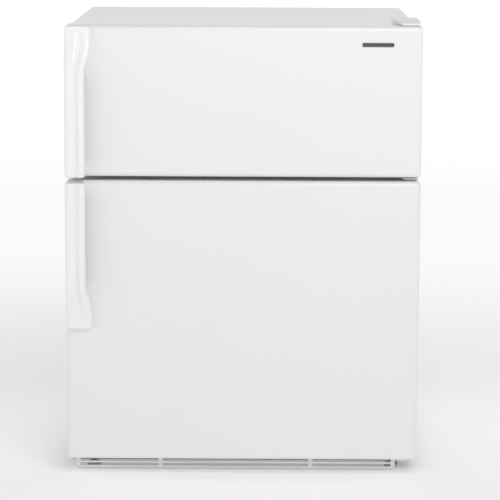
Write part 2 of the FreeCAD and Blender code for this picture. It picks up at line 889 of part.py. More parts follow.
def glass_shelves():
    panes = []
    for level in shelf_levels:
        panes.append(box((-room_side + glass_side_gap, room_side - glass_side_gap),
                         (shelf_front + trim_depth, room_back - glass_back_gap), (level, level + glass)))
    return group(panes)


def shelf_trim(y, level):
    return box((-room_side + glass_side_gap, room_side - glass_side_gap), y, (level, level + trim_height))


def shelf_frames():
    trims = []
    for level in shelf_levels:
        front = shelf_trim((shelf_front, shelf_front + trim_depth), level)
        top_edges = [edge for edge in edges_along(front, (1, 0, 0))
                     if edge.Vertexes[0].Y < shelf_front + 1]
        trims.append(front.makeFillet(3.5, top_edges))
        trims.append(box((-room_side + glass_side_gap, room_side - glass_side_gap),
                         (room_back - glass_back_gap, room_back - glass_back_gap + 5.0),
                         (level, level + trim_height)))
    return group(trims)


def crisper_cover():
    x = (-room_side + glass_side_gap, room_side - glass_side_gap)
    pane = box(x, (shelf_front, room_back - glass_back_gap), (cover_level, cover_top))
    pads = box((x[0] + 20, x[1] - 20), (step_front + 10, step_front + 40), (step_top, cover_level + 1))
    lip = box(x, (shelf_front - 6, shelf_front), (cover_level - 1, cover_top + 4))
    return fuse([pane, pads, lip])


def crisper_drawer(side):
    x = span(side, crisper_middle_gap / 2, room_side - crisper_side_gap)
    y = (shelf_front, step_front - crisper_step_gap)
    low = fridge_floor + crisper_floor_gap
    high = cover_level - crisper_top_gap
    outside = box(x, y, (low, high))
    outside = outside.makeFillet(crisper_corner, edges_along(outside, (0, 0, 1)))
    inside = box((x[0] + crisper_wall, x[1] - crisper_wall), (y[0] + crisper_wall, y[1] - crisper_wall),
                 (low + crisper_wall, high + 1))
    inside = inside.makeFillet(crisper_corner - crisper_wall, edges_along(inside, (0, 0, 1)))
    lip_x = (x[0] + crisper_lip_side, x[1] - crisper_lip_side)
    lip = box(lip_x, (y[0] - crisper_lip, y[0]), (high - 6.0, high))
    hook = box(lip_x, (y[0] - crisper_lip, y[0] - crisper_lip + crisper_wall), (high - 20.0, high))
    return fuse([outside.cut(inside), lip, hook])


def freezer_shelf():
    half = room_side - glass_side_gap - frame_wire_radius
    front = shelf_front + frame_wire_radius
    back = evaporator_front - glass_back_gap - frame_wire_radius
    z = freezer_shelf_level
    corners = [(-half, front, z), (half, front, z), (half, back, z), (-half, back, z)]
    bars = [rod(frame_wire_radius, start, end) for start, end in zip(corners, corners[1:] + corners[:1])]
    balls = [Part.makeSphere(frame_wire_radius, Vector(*corner)) for corner in corners]
    pitch = 2 * half / (shelf_wires + 1)
    wires = []
    for number in range(1, shelf_wires + 1):
        x = -half + pitch * number
        wires.append(rod(wire_radius, (x, front, z), (x, back, z)))
    return fuse(bars + balls + wires)


def evaporator_cover():
    y = (evaporator_front, room_back)
    gap = 1.0
    outside = tunnel((-room_side + gap, room_side - gap), y, (freezer_floor + gap, freezer_ceiling - gap),
                     compartment_radius - gap)
    inset = gap + panel
    inside = tunnel((-room_side + inset, room_side - inset), (y[0] + panel, y[1] + 1),
                    (freezer_floor + inset, freezer_ceiling - inset), compartment_radius - inset)
    mouth = rod(fan_radius + fan_clearance, (fan_x, y[0] - 1, fan_z), (fan_x, y[0] + panel + 1, fan_z))
    bars = [box((fan_x - 60, fan_x + 60), (y[0], y[0] + panel), (fan_z + level - 1.5, fan_z + level + 1.5))
            for level in range(-40, 41, 16)]
    slots = [box((place - 20, place + 20), (y[0] - 1, y[0] + panel + 1),
                 (freezer_floor + 14, freezer_floor + 20)) for place in range(-240, 241, 60)]
    shell = cut(outside, [inside, mouth] + slots)
    return fuse([shell] + [bar.common(mouth) for bar in bars])


def evaporator():
    low = freezer_floor + evaporator_rise
    back = room_back - evaporator_back_gap
    middle = back - evaporator_depth / 2
    half = evaporator_width / 2
    pitch = evaporator_width / (fins - 1)
    plates = []
    for number in range(fins):
        x = -half + number * pitch
        plates.append(box((x - fin / 2, x + fin / 2), (back - evaporator_depth, back),
                          (low, low + evaporator_height)))
    rows = [low + evaporator_height * share for share in tube_rows]
    reach = half + header_reach
    end = reach + evaporator_tube
    tubes = [rod(evaporator_tube, (-end, middle, z), (end, middle, z)) for z in rows]
    ends = [rod(evaporator_tube, (x, middle, rows[0]), (x, middle, rows[-1])) for x in (-reach, reach)]
    return fuse(tubes + ends + plates)


def fan_motor():
    back = room_back - 6.0
    front = evaporator_front + panel
    can = rod(motor_radius, (fan_x, back - motor_length, fan_z), (fan_x, back, fan_z))
    shaft = rod(shaft_radius, (fan_x, front + 4, fan_z), (fan_x, back - 20, fan_z))
    reach = fan_radius + 12.0
    bar = box((fan_x - reach, fan_x + reach), (back - 12, back - 9), (fan_z - 6, fan_z + 6))
    posts = [box((x - 3, x + 3), (front, back - 9), (fan_z - 6, fan_z + 6))
             for x in (fan_x - reach + 3, fan_x + reach - 3)]
    return fuse([can, shaft, bar] + posts)


def evaporator_fan():
    front = evaporator_front + panel + 5.0
    depth = fan_depth
    hub = rod(fan_hub, (fan_x, front, fan_z), (fan_x, front + depth, fan_z))
    blades = []
    for number in range(fan_blades):
        blade = box((6.0, fan_radius), (-1.0, 1.0), (-13.0, 13.0))
        blade.rotate(Vector(0, 0, 0), Vector(1, 0, 0), blade_pitch)
        blade = blade.common(box((-100, 100), (-depth / 2, depth / 2), (-100, 100)))
        blade.rotate(Vector(0, 0, 0), Vector(0, 1, 0), number * 360 / fan_blades)
        blade.translate(Vector(fan_x, front + depth / 2, fan_z))
        blades.append(blade.common(rod(fan_radius, (fan_x, front, fan_z), (fan_x, front + depth, fan_z))))
    bore = rod(shaft_radius + axle_clearance, (fan_x, front - 1, fan_z), (fan_x, front + depth + 1, fan_z))
    return cut(fuse([hub] + blades), [bore])


def knob_place(side, y):
    return (side * knob_spacing / 2 - knob_shift, y, housing_low + housing_height / 2)


def plunger_place(y):
    return (housing_width / 2 - plunger_inset, y, housing_low + housing_height / 2 + switch_rise)


def control_housing():
    x = (-housing_width / 2, housing_width / 2)
    y = (housing_front, housing_front + housing_depth)
    outside = box(x, y, (housing_low, fridge_ceiling))
    low_edges = [edge for edge in edges_along(outside, (1, 0, 0)) if edge.Vertexes[0].Z < housing_low + 1]
    outside = outside.makeFillet(8.0, low_edges)
    inside = box((x[0] + panel, x[1] - panel), (y[0] + panel, y[1] - panel),
                 (housing_low + panel, fridge_ceiling + 1))
    through = (y[0] - 1, y[0] + panel + 1)
    holes = [rod(shaft_radius + axle_clearance, *[knob_place(side, end) for end in through])
             for side in (-1, 1)]
    holes.append(rod(plunger_radius + axle_clearance, *[plunger_place(end) for end in through]))
    return cut(outside, [inside] + holes)


def control_knob(side):
    back = housing_front - knob_gap
    front = back - knob_length
    skirt = rod(knob_radius, knob_place(side, back - knob_skirt), knob_place(side, back))
    grip = rod(knob_radius * grip_share, knob_place(side, front), knob_place(side, back - knob_skirt + 1))
    x, y, z = knob_place(side, front)
    half = knob_radius * 0.7
    ridge = box((x - 2.5, x + 2.5), (y - 1.0, y + 2.0), (z - half, z + half))
    shaft = rod(shaft_radius, knob_place(side, front + 2), knob_place(side, housing_front + 8.0))
    return fuse([skirt, grip, ridge, shaft])


def door_switch_plunger():
    tip = housing_front - plunger_reach
    stem = rod(plunger_radius, plunger_place(tip), plunger_place(housing_front + 12.0))
    tip_edge = [edge for edge in round_edges(stem, plunger_radius) if edge.BoundBox.YMin < tip + 1]
    return stem.makeFillet(1.5, tip_edge)


def lamp_bulb():
    start = housing_front + housing_depth
    z = housing_low + housing_height / 2
    neck = rod(bulb_neck, (0, start, z), (0, start + bulb_stand_off - 8, z))
    glass_ball = Part.makeSphere(bulb_radius, Vector(0, start + bulb_stand_off, z))
    return fuse([neck, glass_ball])


# Back and machine space

def coil_levels():
    low = machine_top + sheet + coil_end_gap
    high = cabinet_top - coil_end_gap
    return [low + (high - low) * number / (coil_passes - 1) for number in range(coil_passes)]


def condenser_coil():
    y = cabinet_back + coil_stand_off
    levels = coil_levels()
    bend = (levels[1] - levels[0]) / 2
    edges = []
    for number, level in enumerate(levels):
        side = 1 if number % 2 == 0 else -1
        turn = side * coil_half_width
        edges.append(Part.makeLine(Vector(-turn, y, level), Vector(turn, y, level)))
        if number < coil_passes - 1:
            arc = Part.Arc(Vector(turn, y, level), Vector(turn + side * bend, y, level + bend),
                           Vector(turn, y, level + 2 * bend))
            edges.append(arc.toShape())
    start = Vector(-coil_half_width, y, levels[0])
    section = Part.Wire(Part.makeCircle(tube_radius, start, Vector(1, 0, 0)))
    return Part.Wire(edges).makePipeShell([section], True, False)


def condenser_wires():
    y = cabinet_back + coil_stand_off + tube_radius + condenser_wire
    levels = coil_levels()
    pitch = 2 * coil_half_width / (wire_count - 1)
    low = levels[0] - wire_overrun
    high = levels[-1] + wire_overrun
    wires = []
    for number in range(wire_count):
        x = -coil_half_width + pitch * number
        wires.append(rod(condenser_wire, (x, y, low), (x, y, high)))
    return group(wires)


def condenser_brackets():
    levels = coil_levels()
    reach = cabinet_back + coil_stand_off - tube_radius
    brackets = []
    for level in (levels[1], levels[-2]):
        for side in (-1, 1):
            x = side * coil_half_width * bracket_spread
            width = (x - bracket_width / 2, x + bracket_width / 2)
            foot = box(width, (cabinet_back, cabinet_back + bracket_sheet),
                       (level - bracket_foot, level + bracket_foot))
            arm = box(width, (cabinet_back, reach), (level - bracket_sheet / 2, level + bracket_sheet / 2))
            brackets.append(fuse([foot, arm]))
    return group(brackets)


def compressor_middle():
    return (-compressor_side, (machine_front + cabinet_back) / 2)


def compressor_feet():
    x, y = compressor_middle()
    return [(x + a * compressor_foot_x, y + b * compressor_foot_y) for a in (-1, 1) for b in (-1, 1)]


def compressor():
    x, y = compressor_middle()
    low = deck_height + grommet_height
    top = low + compressor_height
    can = rod(compressor_radius, (x, y, low), (x, y, top))
    can = can.makeFillet(compressor_round, round_edges(can, compressor_radius))
    half_x = compressor_foot_x + 14.0
    half_y = compressor_foot_y + 10.0
    feet = box((x - half_x, x + half_x), (y - half_y, y + half_y), (low, low + compressor_foot))
    feet = feet.makeFillet(foot_plate_edge, edges_along(feet, (0, 0, 1)))
    holes = [rod(grommet_bore, (a, b, low - 1), (a, b, low + compressor_foot + 1))
             for a, b in compressor_feet()]
    terminal = box((x + compressor_radius - 10, x + compressor_radius + 22), (y - 24, y + 24),
                   (low + 50, low + 100))
    stub = rod(stub_radius, (x - 30, y, top - 12), (x - 30, y, top + 18))
    return cut(fuse([can, feet, terminal, stub]), holes)


def compressor_grommets():
    low = deck_height
    return group([ring(grommet_radius, grommet_bore, (x, y, low), (x, y, low + grommet_height))
                  for x, y in compressor_feet()])


def drain_pan():
    x = (pan_start, pan_start + pan_length)
    middle = (machine_front + cabinet_back) / 2
    y = (middle - pan_width / 2, middle + pan_width / 2)
    outside = box(x, y, (deck_height, deck_height + pan_height))
    outside = outside.makeFillet(pan_corner, edges_along(outside, (0, 0, 1)))
    inside = box((x[0] + pan_wall, x[1] - pan_wall), (y[0] + pan_wall, y[1] - pan_wall),
                 (deck_height + pan_wall, deck_height + pan_height + 1))
    inside = inside.makeFillet(pan_corner - pan_wall, edges_along(inside, (0, 0, 1)))
    return outside.cut(inside)


def gland_place(y):
    return (-shell_inside + gland_inset, y, deck_height + gland_inset)


def rear_access_cover():
    sheet_out = box((-shell_inside, shell_inside), (cabinet_back - sheet, cabinet_back),
                    (deck_height, machine_top))
    through = (cabinet_back - 5, cabinet_back + 1)
    vents = []
    for column in vent_columns:
        for row in range(vent_rows):
            low = deck_height + vent_floor + row * vent_pitch
            vents.append(box((column - vent_length / 2, column + vent_length / 2), through,
                             (low, low + vent_height)))
    vents.append(rod(gland_radius - 2.0, *[gland_place(end) for end in through]))
    return cut(sheet_out, vents)


def cord_gland():
    inner_end = cabinet_back - gland_length
    flange = rod(gland_radius, gland_place(cabinet_back), gland_place(cabinet_back + gland_flange))
    neck = rod(gland_radius - 2.1, gland_place(inner_end), gland_place(cabinet_back + 1))
    bore = rod(gland_bore, gland_place(inner_end - 1), gland_place(cabinet_back + gland_flange + 1))
    return cut(fuse([flange, neck]), [bore])


# Both doors have the same pieces

def save_door(name, low, high, room_low, room_high, near, direction):
    screws = handle_screw_levels(near, direction)
    save(name + "_skin", door_skin(low, high, screws))
    save(name + "_foam", door_foam(low, high, screws))
    save(name + "_liner", door_liner(low, high, room_low, room_high))
    save(name + "_gasket", door_gasket(room_low, room_high, low, high))
    save(name + "_bushings", hinge_bushings(low, high))
    save(name + "_handle", handle(near, direction))
    save(name + "_handle_screws", handle_screws(screws))


os.makedirs("parts", exist_ok=True)

for piece in (outer_cabinet_shell, back_panel, bottom_deck, foam_insulation, freezer_liner, fridge_liner,
              mullion_trim, base_frame, toe_grille, top_hinge, top_hinge_cover, center_hinge, bottom_hinge,
              hinge_screws, glass_shelves, shelf_frames, crisper_cover, freezer_shelf, evaporator,
              evaporator_cover, fan_motor, evaporator_fan, control_housing, door_switch_plunger, lamp_bulb,
              condenser_coil, condenser_wires, condenser_brackets, compressor, compressor_grommets,
              drain_pan, rear_access_cover, cord_gland, badge_plate, freezer_door_bins, fridge_door_bins,
              dairy_lid):
    save(piece.__name__, piece())

for side, name in ((-1, "left"), (1, "right")):
    save("leveling_foot_" + name, leveling_foot(side))
    save("rear_roller_" + name, rear_roller(side))
    save("crisper_drawer_" + name, crisper_drawer(side))
save("roller_axles", group(both_sides(roller_axle)))
save("freezer_control_knob", control_knob(-1))
save("fridge_control_knob", control_knob(1))

save_door("freezer_door", freezer_door_bottom, freezer_door_top, freezer_floor, freezer_ceiling,
          freezer_door_bottom + handle_end_gap, 1)
save_door("fridge_door", fridge_door_bottom, fridge_door_top, fridge_floor, fridge_ceiling,
          fridge_door_top - handle_end_gap, -1)
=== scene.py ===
import bpy, bmesh
from math import cos, pi, radians, sin
from mathutils import Matrix, Vector


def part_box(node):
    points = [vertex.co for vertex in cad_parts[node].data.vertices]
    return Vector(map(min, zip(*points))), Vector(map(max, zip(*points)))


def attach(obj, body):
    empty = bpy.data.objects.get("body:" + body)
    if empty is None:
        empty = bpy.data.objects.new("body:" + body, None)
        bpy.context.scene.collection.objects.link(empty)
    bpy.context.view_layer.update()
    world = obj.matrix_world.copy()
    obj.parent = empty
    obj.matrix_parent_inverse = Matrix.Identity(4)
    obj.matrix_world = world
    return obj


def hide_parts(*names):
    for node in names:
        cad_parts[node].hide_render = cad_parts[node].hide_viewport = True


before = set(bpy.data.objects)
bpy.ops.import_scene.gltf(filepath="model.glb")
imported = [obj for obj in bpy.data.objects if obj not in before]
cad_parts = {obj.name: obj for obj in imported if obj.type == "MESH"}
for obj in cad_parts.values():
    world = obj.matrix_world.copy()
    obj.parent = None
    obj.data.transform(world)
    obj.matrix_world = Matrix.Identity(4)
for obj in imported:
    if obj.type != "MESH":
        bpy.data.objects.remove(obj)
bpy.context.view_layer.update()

# Front faces -Y, hinges are at +X, all lengths are in metres.


def meshPiece(name, points, faces, angle=35):
    mesh = bpy.data.meshes.new(name)
    mesh.from_pydata([tuple(p) for p in points], [], faces)
    mesh.update()
    return settle(bpy.data.objects.new(name, mesh), angle)


def settle(piece, angle=35):
    # Links a new piece, turns its faces outwards and smooths it up to an angle.
    if piece.name not in bpy.context.scene.collection.objects:
        bpy.context.scene.collection.objects.link(piece)
    shape = bmesh.new()
    shape.from_mesh(piece.data)
    bmesh.ops.remove_doubles(shape, verts=shape.verts, dist=0.00001)
    bmesh.ops.recalc_face_normals(shape, faces=shape.faces)
    for face in shape.faces:
        face.smooth = True
    for edge in shape.edges:
        if len(edge.link_faces) == 2:
            edge.smooth = edge.calc_face_angle() < radians(angle)
    shape.to_mesh(piece.data)
    shape.free()
    weigh = piece.modifiers.new("weigh", "WEIGHTED_NORMAL")
    weigh.keep_sharp = True
    return piece


def bends(steps, sweep=pi / 2):
    # The even turns that round an edge off.
    return [sweep * step / steps for step in range(steps + 1)]


def ringPoints(x, z, corner, y, steps=8):
    # A rounded rectangle in the XZ plane at depth y.
    corner = max(corner, 0.0002)
    points = []
    middles = [(x[1] - corner, z[1] - corner, 0), (x[0] + corner, z[1] - corner, 90),
               (x[0] + corner, z[0] + corner, 180), (x[1] - corner, z[0] + corner, 270)]
    for cx, cz, start in middles:
        for step in range(steps + 1):
            turn = radians(start + 90 * step / steps)
            points.append((cx + corner * cos(turn), y, cz + corner * sin(turn)))
    return points


def ringLoft(name, rings, capStart=True, capEnd=True, angle=35):
    # Skins a list of rings that have the same number of points.
    count = len(rings[0])
    points = [p for ring in rings for p in ring]
    faces = []
    for row in range(len(rings) - 1):
        for k in range(count):
            a, b = row * count + k, row * count + (k + 1) % count
            faces.append((a, b, b + count, a + count))
    if capStart:
        faces.append(tuple(range(count)))
    if capEnd:
        faces.append(tuple(range(len(points) - count, len(points))))
    return meshPiece(name, points, faces, angle)


def softBox(name, low, high, radius, segments=4, edgesAlong="xyz", angle=35):
    # A block whose edges along the named axes are rounded.
    shape = bmesh.new()
    bmesh.ops.create_cube(shape, size=1.0)
    for vert in shape.verts:
        vert.co = Vector([low[k] + (vert.co[k] + 0.5) * (high[k] - low[k]) for k in range(3)])
    picked = []
    for edge in shape.edges:
        run = edge.verts[1].co - edge.verts[0].co
        axis = "xyz"[max(range(3), key=lambda k: abs(run[k]))]
        if axis in edgesAlong:
            picked.append(edge)
    bmesh.ops.bevel(shape, geom=picked, offset=radius, segments=segments, profile=0.5, affect="EDGES")
    mesh = bpy.data.meshes.new(name)
    shape.to_mesh(mesh)
    shape.free()
    return settle(bpy.data.objects.new(name, mesh), angle)


def lathe(name, profile, middle, axis, steps=48, angle=40):
    # Turns (radius, along) points about an axis through middle.
    turn = Vector((0, 0, 1)).rotation_difference(Vector(axis)).to_matrix()
    points, faces = [], []
    for radius, along in profile:
        for step in range(steps):
            a = 2 * pi * step / steps
            points.append(Vector(middle) + turn @ Vector((radius * cos(a), radius * sin(a), along)))
    for row in range(len(profile) - 1):
        for step in range(steps):
            a, b = row * steps + step, row * steps + (step + 1) % steps
            faces.append((a, b, b + steps, a + steps))
    if profile[0][0] > 0.0002:
        faces.append(tuple(range(steps)))
    if profile[-1][0] > 0.0002:
        faces.append(tuple(range(len(points) - steps, len(points))))
    return meshPiece(name, points, faces, angle)


def roundPlan(points, corner, inset=0.0, steps=4):
    # A convex outline, drawn anticlockwise, moved inwards and given round corners.
    count = len(points)
    lines = []
    for k in range(count):
        a, b = Vector(points[k]), Vector(points[(k + 1) % count])
        run = (b - a).normalized()
        lines.append((a + Vector((-run.y, run.x)) * inset, run))
    rounded = []
    for k in range(count):
        (p, d), (q, e) = lines[k - 1], lines[k]
        turn = d.x * e.y - d.y * e.x
        meet = p + d * (((q - p).x * e.y - (q - p).y * e.x) / turn)
        half = abs(d.angle(e)) / 2
        radius = max(corner - inset, 0.0003)
        middle = meet - d * (radius * abs(sin(half) / cos(half))) + Vector((-d.y, d.x)) * radius
        for step in range(steps + 1):
            lean = 2 * half * step / steps
            out = Matrix.Rotation(lean, 2) @ Vector((d.y, -d.x))
            rounded.append(middle + out * radius)
    return rounded


def slab(name, points, corner, z, edge):
    # A flat plate with round corners and softened edges.
    rows = [(edge * (1 - sin(turn)), z[0] + edge * (1 - cos(turn))) for turn in bends(3)]
    rows += [(inset, z[0] + z[1] - level) for inset, level in reversed(rows)]
    rings = [[(p.x, p.y, level) for p in roundPlan(points, corner, inset)] for inset, level in rows]
    return ringLoft(name, rings)


def plan(low, high):
    return [(low[0], low[1]), (high[0], low[1]), (high[0], high[1]), (low[0], high[1])]


def tub(name, low, high, wall, corner, foot=0.004, taper=0.0):
    # An open box: rounded foot, upright walls, rolled rim, rounded floor.
    def rim(inset, level):
        return [(p.x, p.y, level) for p in roundPlan(plan(low, high), corner, inset, 5)]

    inside = foot * 0.8
    rings = [rim(taper + foot * (1 - sin(turn)), low.z + foot * (1 - cos(turn))) for turn in bends(4)]
    rings += [rim(wall / 2 * (1 - cos(turn)), high.z - wall / 2 * (1 - sin(turn))) for turn in bends(4, pi)]
    rings += [rim(taper + wall + inside * (1 - cos(turn)), low.z + wall + inside * (1 - sin(turn)))
              for turn in bends(4)]
    return ringLoft(name, rings)


def gridPlate(name, xs, zs, holes, y, edge=0.0006):
    # An upright sheet cut through in the named cells, with softened edges.
    columns, rows = len(xs) - 1, len(zs) - 1

    def solid(i, j):
        return 0 <= i < columns and 0 <= j < rows and (i, j) not in holes

    points, faces, seen = [], [], {}

    def corner(i, j, side):
        key = (i, j, side)
        if key not in seen:
            seen[key] = len(points)
            points.append((xs[i], y[side], zs[j]))
        return seen[key]

    for i in range(columns):
        for j in range(rows):
            if not solid(i, j):
                continue
            ring = ((i, j), (i + 1, j), (i + 1, j + 1), (i, j + 1))
            faces.append([corner(a, b, 0) for a, b in ring])
            faces.append([corner(a, b, 1) for a, b in reversed(ring)])
            sides = ((i, j - 1), (i + 1, j), (i, j + 1), (i - 1, j))
            for k, (a, b) in enumerate(sides):
                if not solid(a, b):
                    p, q = ring[k], ring[(k + 1) % 4]
                    faces.append([corner(*q, 0), corner(*p, 0), corner(*p, 1), corner(*q, 1)])
    piece = meshPiece(name, points, faces)
    soften = piece.modifiers.new("soften", "BEVEL")
    soften.width = edge
    soften.segments = 2
    soften.limit_method = "ANGLE"
    piece.modifiers.move(1, 0)
    return piece


def joinPieces(name, pieces):
    # Puts several meshes into one piece and keeps their materials.
    first = pieces[0]
    with bpy.context.temp_override(active_object=first, selected_editable_objects=pieces, object=first):
        bpy.ops.object.join()
    first.name = name
    first.data.name = name
    return first


def dress(piece, material, body, slotName, *nodes):
    # Gives a new piece its finish and its body, and hides the CAD nodes that it stands for.
    if not piece.data.materials:
        piece.data.materials.append(material)
    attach(piece, body)
    if nodes:
        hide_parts(*nodes)
    return piece


def coat(material, *nodes):
    # A new finish on CAD nodes whose shape stays.
    for node in nodes:
        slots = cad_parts[node].data.materials
        slots.clear()
        slots.append(material)


def newFinish(name, colour, roughness, metallic=0.0, **extras):
    material = bpy.data.materials.new(name)
    material.use_nodes = True
    sockets = shader(material).inputs
    sockets["Base Color"].default_value = (*colour, 1)
    sockets["Roughness"].default_value = roughness
    sockets["Metallic"].default_value = metallic
    for socket, value in extras.items():
        sockets[socket.replace("_", " ")].default_value = value
    return material


def addNode(material, kind, operation=None):
    node = material.node_tree.nodes.new(kind)
    if operation:
        node.operation = operation
    return node


def wire(material, start, end):
    material.node_tree.links.new(start, end)


def place(material, stretch=(1, 1, 1)):
    # Object coordinates in metres, stretched along an axis for brushed or drawn marks.
    where = addNode(material, "ShaderNodeTexCoord")
    scale = addNode(material, "ShaderNodeMapping")
    scale.inputs["Scale"].default_value = stretch
    wire(material, where.outputs["Object"], scale.inputs["Vector"])
    return scale.outputs["Vector"]


def noise(material, perMetre, detail=3.0, rough=0.5, stretch=(1, 1, 1)):
    node = addNode(material, "ShaderNodeTexNoise")
    node.inputs["Scale"].default_value = perMetre
    node.inputs["Detail"].default_value = detail
    node.inputs["Roughness"].default_value = rough
    wire(material, place(material, stretch), node.inputs["Vector"])
    return node.outputs["Fac"]


def shader(material):
    return material.node_tree.nodes["Principled BSDF"]


def ramp(material, source, low, high, colours):
    node = addNode(material, "ShaderNodeValToRGB")
    node.color_ramp.elements[0].position = low
    node.color_ramp.elements[1].position = high
    for element, colour in zip(node.color_ramp.elements, colours):
        element.color = (*colour, 1)
    wire(material, source, node.inputs["Fac"])
    return node.outputs["Color"]


def spreadColour(material, source, dark, light, low=0.35, high=0.65):
    colours = ramp(material, source, low, high, (dark, light))
    wire(material, colours, shader(material).inputs["Base Color"])


def remap(material, source, low, high, least=0.0, most=1.0):
    node = addNode(material, "ShaderNodeMapRange")
    for socket, value in zip(("From Min", "From Max", "To Min", "To Max"), (low, high, least, most)):
        node.inputs[socket].default_value = value
    wire(material, source, node.inputs["Value"])
    return node.outputs["Result"]


def spreadRoughness(material, source, least, most, low=0.3, high=0.7):
    wire(material, remap(material, source, low, high, least, most), shader(material).inputs["Roughness"])


def addBumps(material, layers):
    # Layers of (height source, depth in metres, strength), one on the other.
    last = None
    for source, depth, strength in layers:
        bump = addNode(material, "ShaderNodeBump")
        bump.inputs["Distance"].default_value = depth
        bump.inputs["Strength"].default_value = strength
        wire(material, source, bump.inputs["Height"])
        if last:
            wire(material, last.outputs["Normal"], bump.inputs["Normal"])
        last = bump
    wire(material, last.outputs["Normal"], shader(material).inputs["Normal"])


enamelLook = {
    "white": (0.845, 0.85, 0.85),
    "shade": (0.825, 0.83, 0.832),
    "peelPerMetre": 520,           # orange peel of sprayed enamel
    "wavePerMetre": 5.5,           # sheet steel is never quite flat
}


def whiteEnamel():
    look = enamelLook
    paint = newFinish("white enamel", look["white"], 0.3, Coat_Weight=0.35, Coat_Roughness=0.12)
    spreadColour(paint, noise(paint, 1.6, 3), look["shade"], look["white"], 0.2, 0.8)
    spreadRoughness(paint, noise(paint, 6, 3, 0.5), 0.27, 0.33, 0.1, 0.9)
    addBumps(paint, [(noise(paint, look["wavePerMetre"], 0), 0.002, 0.015),
                     (noise(paint, look["peelPerMetre"], 1), 0.0001, 0.03)])
    return paint


def mouldedPlastic(name, colour, shade, roughness, grainPerMetre=2600, depth=0.00005, strength=0.1):
    plastic = newFinish(name, colour, roughness, IOR=1.49)
    spreadColour(plastic, noise(plastic, 9, 4), shade, colour, 0.2, 0.8)
    spreadRoughness(plastic, noise(plastic, 55, 3), roughness - 0.04, roughness + 0.05, 0.1, 0.9)
    addBumps(plastic, [(noise(plastic, grainPerMetre, 1), depth, strength)])
    return plastic


def linerPlastic():
    moulded = newFinish("liner plastic", (0.88, 0.885, 0.88), 0.22, IOR=1.5, Coat_Weight=0.2,
                        Coat_Roughness=0.1)
    spreadColour(moulded, noise(moulded, 3, 3), (0.86, 0.865, 0.86), (0.89, 0.895, 0.89), 0.2, 0.8)
    spreadRoughness(moulded, noise(moulded, 12, 3), 0.19, 0.26, 0.1, 0.9)
    addBumps(moulded, [(noise(moulded, 7, 1), 0.001, 0.02), (noise(moulded, 900, 1), 0.0001, 0.04)])
    return moulded


def clearPlastic():
    tint = (0.86, 0.91, 0.94)
    plastic = newFinish("clear plastic", tint, 0.08, IOR=1.49, Transmission_Weight=0.45, Alpha=0.42)
    spreadRoughness(plastic, noise(plastic, 60, 4), 0.05, 0.16)
    addBumps(plastic, [(noise(plastic, 30, 2), 0.0008, 0.06), (noise(plastic, 700, 2), 0.0001, 0.05)])
    return plastic


def shelfGlass():
    pane = newFinish("shelf glass", (0.86, 0.95, 0.91), 0.03, IOR=1.5, Transmission_Weight=0.7, Alpha=0.30)
    spreadRoughness(pane, noise(pane, 40, 5), 0.015, 0.07)
    addBumps(pane, [(noise(pane, 12, 1), 0.0006, 0.03)])
    return pane


def softVinyl(name, colour, shade):
    vinyl = newFinish(name, colour, 0.62, Sheen_Weight=0.15)
    spreadColour(vinyl, noise(vinyl, 30, 5), shade, colour)
    spreadRoughness(vinyl, noise(vinyl, 90, 3), 0.52, 0.72)
    addBumps(vinyl, [(noise(vinyl, 1500, 3), 0.0001, 0.3)])
    return vinyl


def galvanisedSheet():
    zinc = newFinish("galvanised sheet", (0.60, 0.61, 0.62), 0.38, metallic=0.85)
    spangle = addNode(zinc, "ShaderNodeTexVoronoi")
    spangle.inputs["Scale"].default_value = 190
    wire(zinc, place(zinc), spangle.inputs["Vector"])
    grey = addNode(zinc, "ShaderNodeSeparateColor")
    wire(zinc, spangle.outputs["Color"], grey.inputs["Color"])
    spreadColour(zinc, grey.outputs["Red"], (0.60, 0.61, 0.62), (0.68, 0.69, 0.70), 0.0, 1.0)
    spreadRoughness(zinc, grey.outputs["Green"], 0.36, 0.48, 0.0, 1.0)
    addBumps(zinc, [(noise(zinc, 7, 2), 0.003, 0.08), (noise(zinc, 700, 3), 0.0001, 0.15)])
    return zinc


def screwZinc():
    zinc = newFinish("zinc plate", (0.70, 0.69, 0.64), 0.3, metallic=1.0)
    spreadRoughness(zinc, noise(zinc, 900, 3), 0.22, 0.42)
    addBumps(zinc, [(noise(zinc, 2500, 2), 0.00005, 0.2)])
    return zinc


def darkPaint(name, colour, worn, roughness):
    # Semi-gloss paint that thins on the edges.
    paint = newFinish(name, colour, roughness)
    form = addNode(paint, "ShaderNodeNewGeometry")
    speck = addNode(paint, "ShaderNodeMath", "MULTIPLY")
    wire(paint, remap(paint, form.outputs["Pointiness"], 0.52, 0.60), speck.inputs[0])
    wire(paint, noise(paint, 160, 5, 0.7), speck.inputs[1])
    spreadColour(paint, speck.outputs["Value"], colour, worn, 0.25, 0.8)
    spreadRoughness(paint, noise(paint, 80, 4), roughness - 0.08, roughness + 0.12)
    addBumps(paint, [(noise(paint, 900, 3), 0.00015, 0.2)])
    return paint


def finAluminium():
    metal = newFinish("fin aluminium", (0.80, 0.81, 0.82), 0.3, metallic=1.0)
    spreadRoughness(metal, noise(metal, 300, 3, 0.5, (1, 1, 0.1)), 0.2, 0.45)
    addBumps(metal, [(noise(metal, 400, 2), 0.0001, 0.15)])
    return metal


def bulbGlass():
    frosted = newFinish("frosted bulb", (0.94, 0.93, 0.88), 0.45, Transmission_Weight=0.35,
                        Subsurface_Weight=0.1)
    spreadRoughness(frosted, noise(frosted, 400, 3), 0.38, 0.55)
    addBumps(frosted, [(noise(frosted, 1800, 2), 0.00005, 0.2)])
    return frosted


def darkBadge():
    badge = newFinish("dark badge", (0.045, 0.046, 0.05), 0.22, Coat_Weight=0.6, Coat_Roughness=0.08)
    spreadRoughness(badge, noise(badge, 300, 3, 0.5, (0.05, 1, 1)), 0.18, 0.34)
    addBumps(badge, [(noise(badge, 1400, 2, 0.5, (0.04, 1, 1)), 0.00005, 0.3)])
    return badge


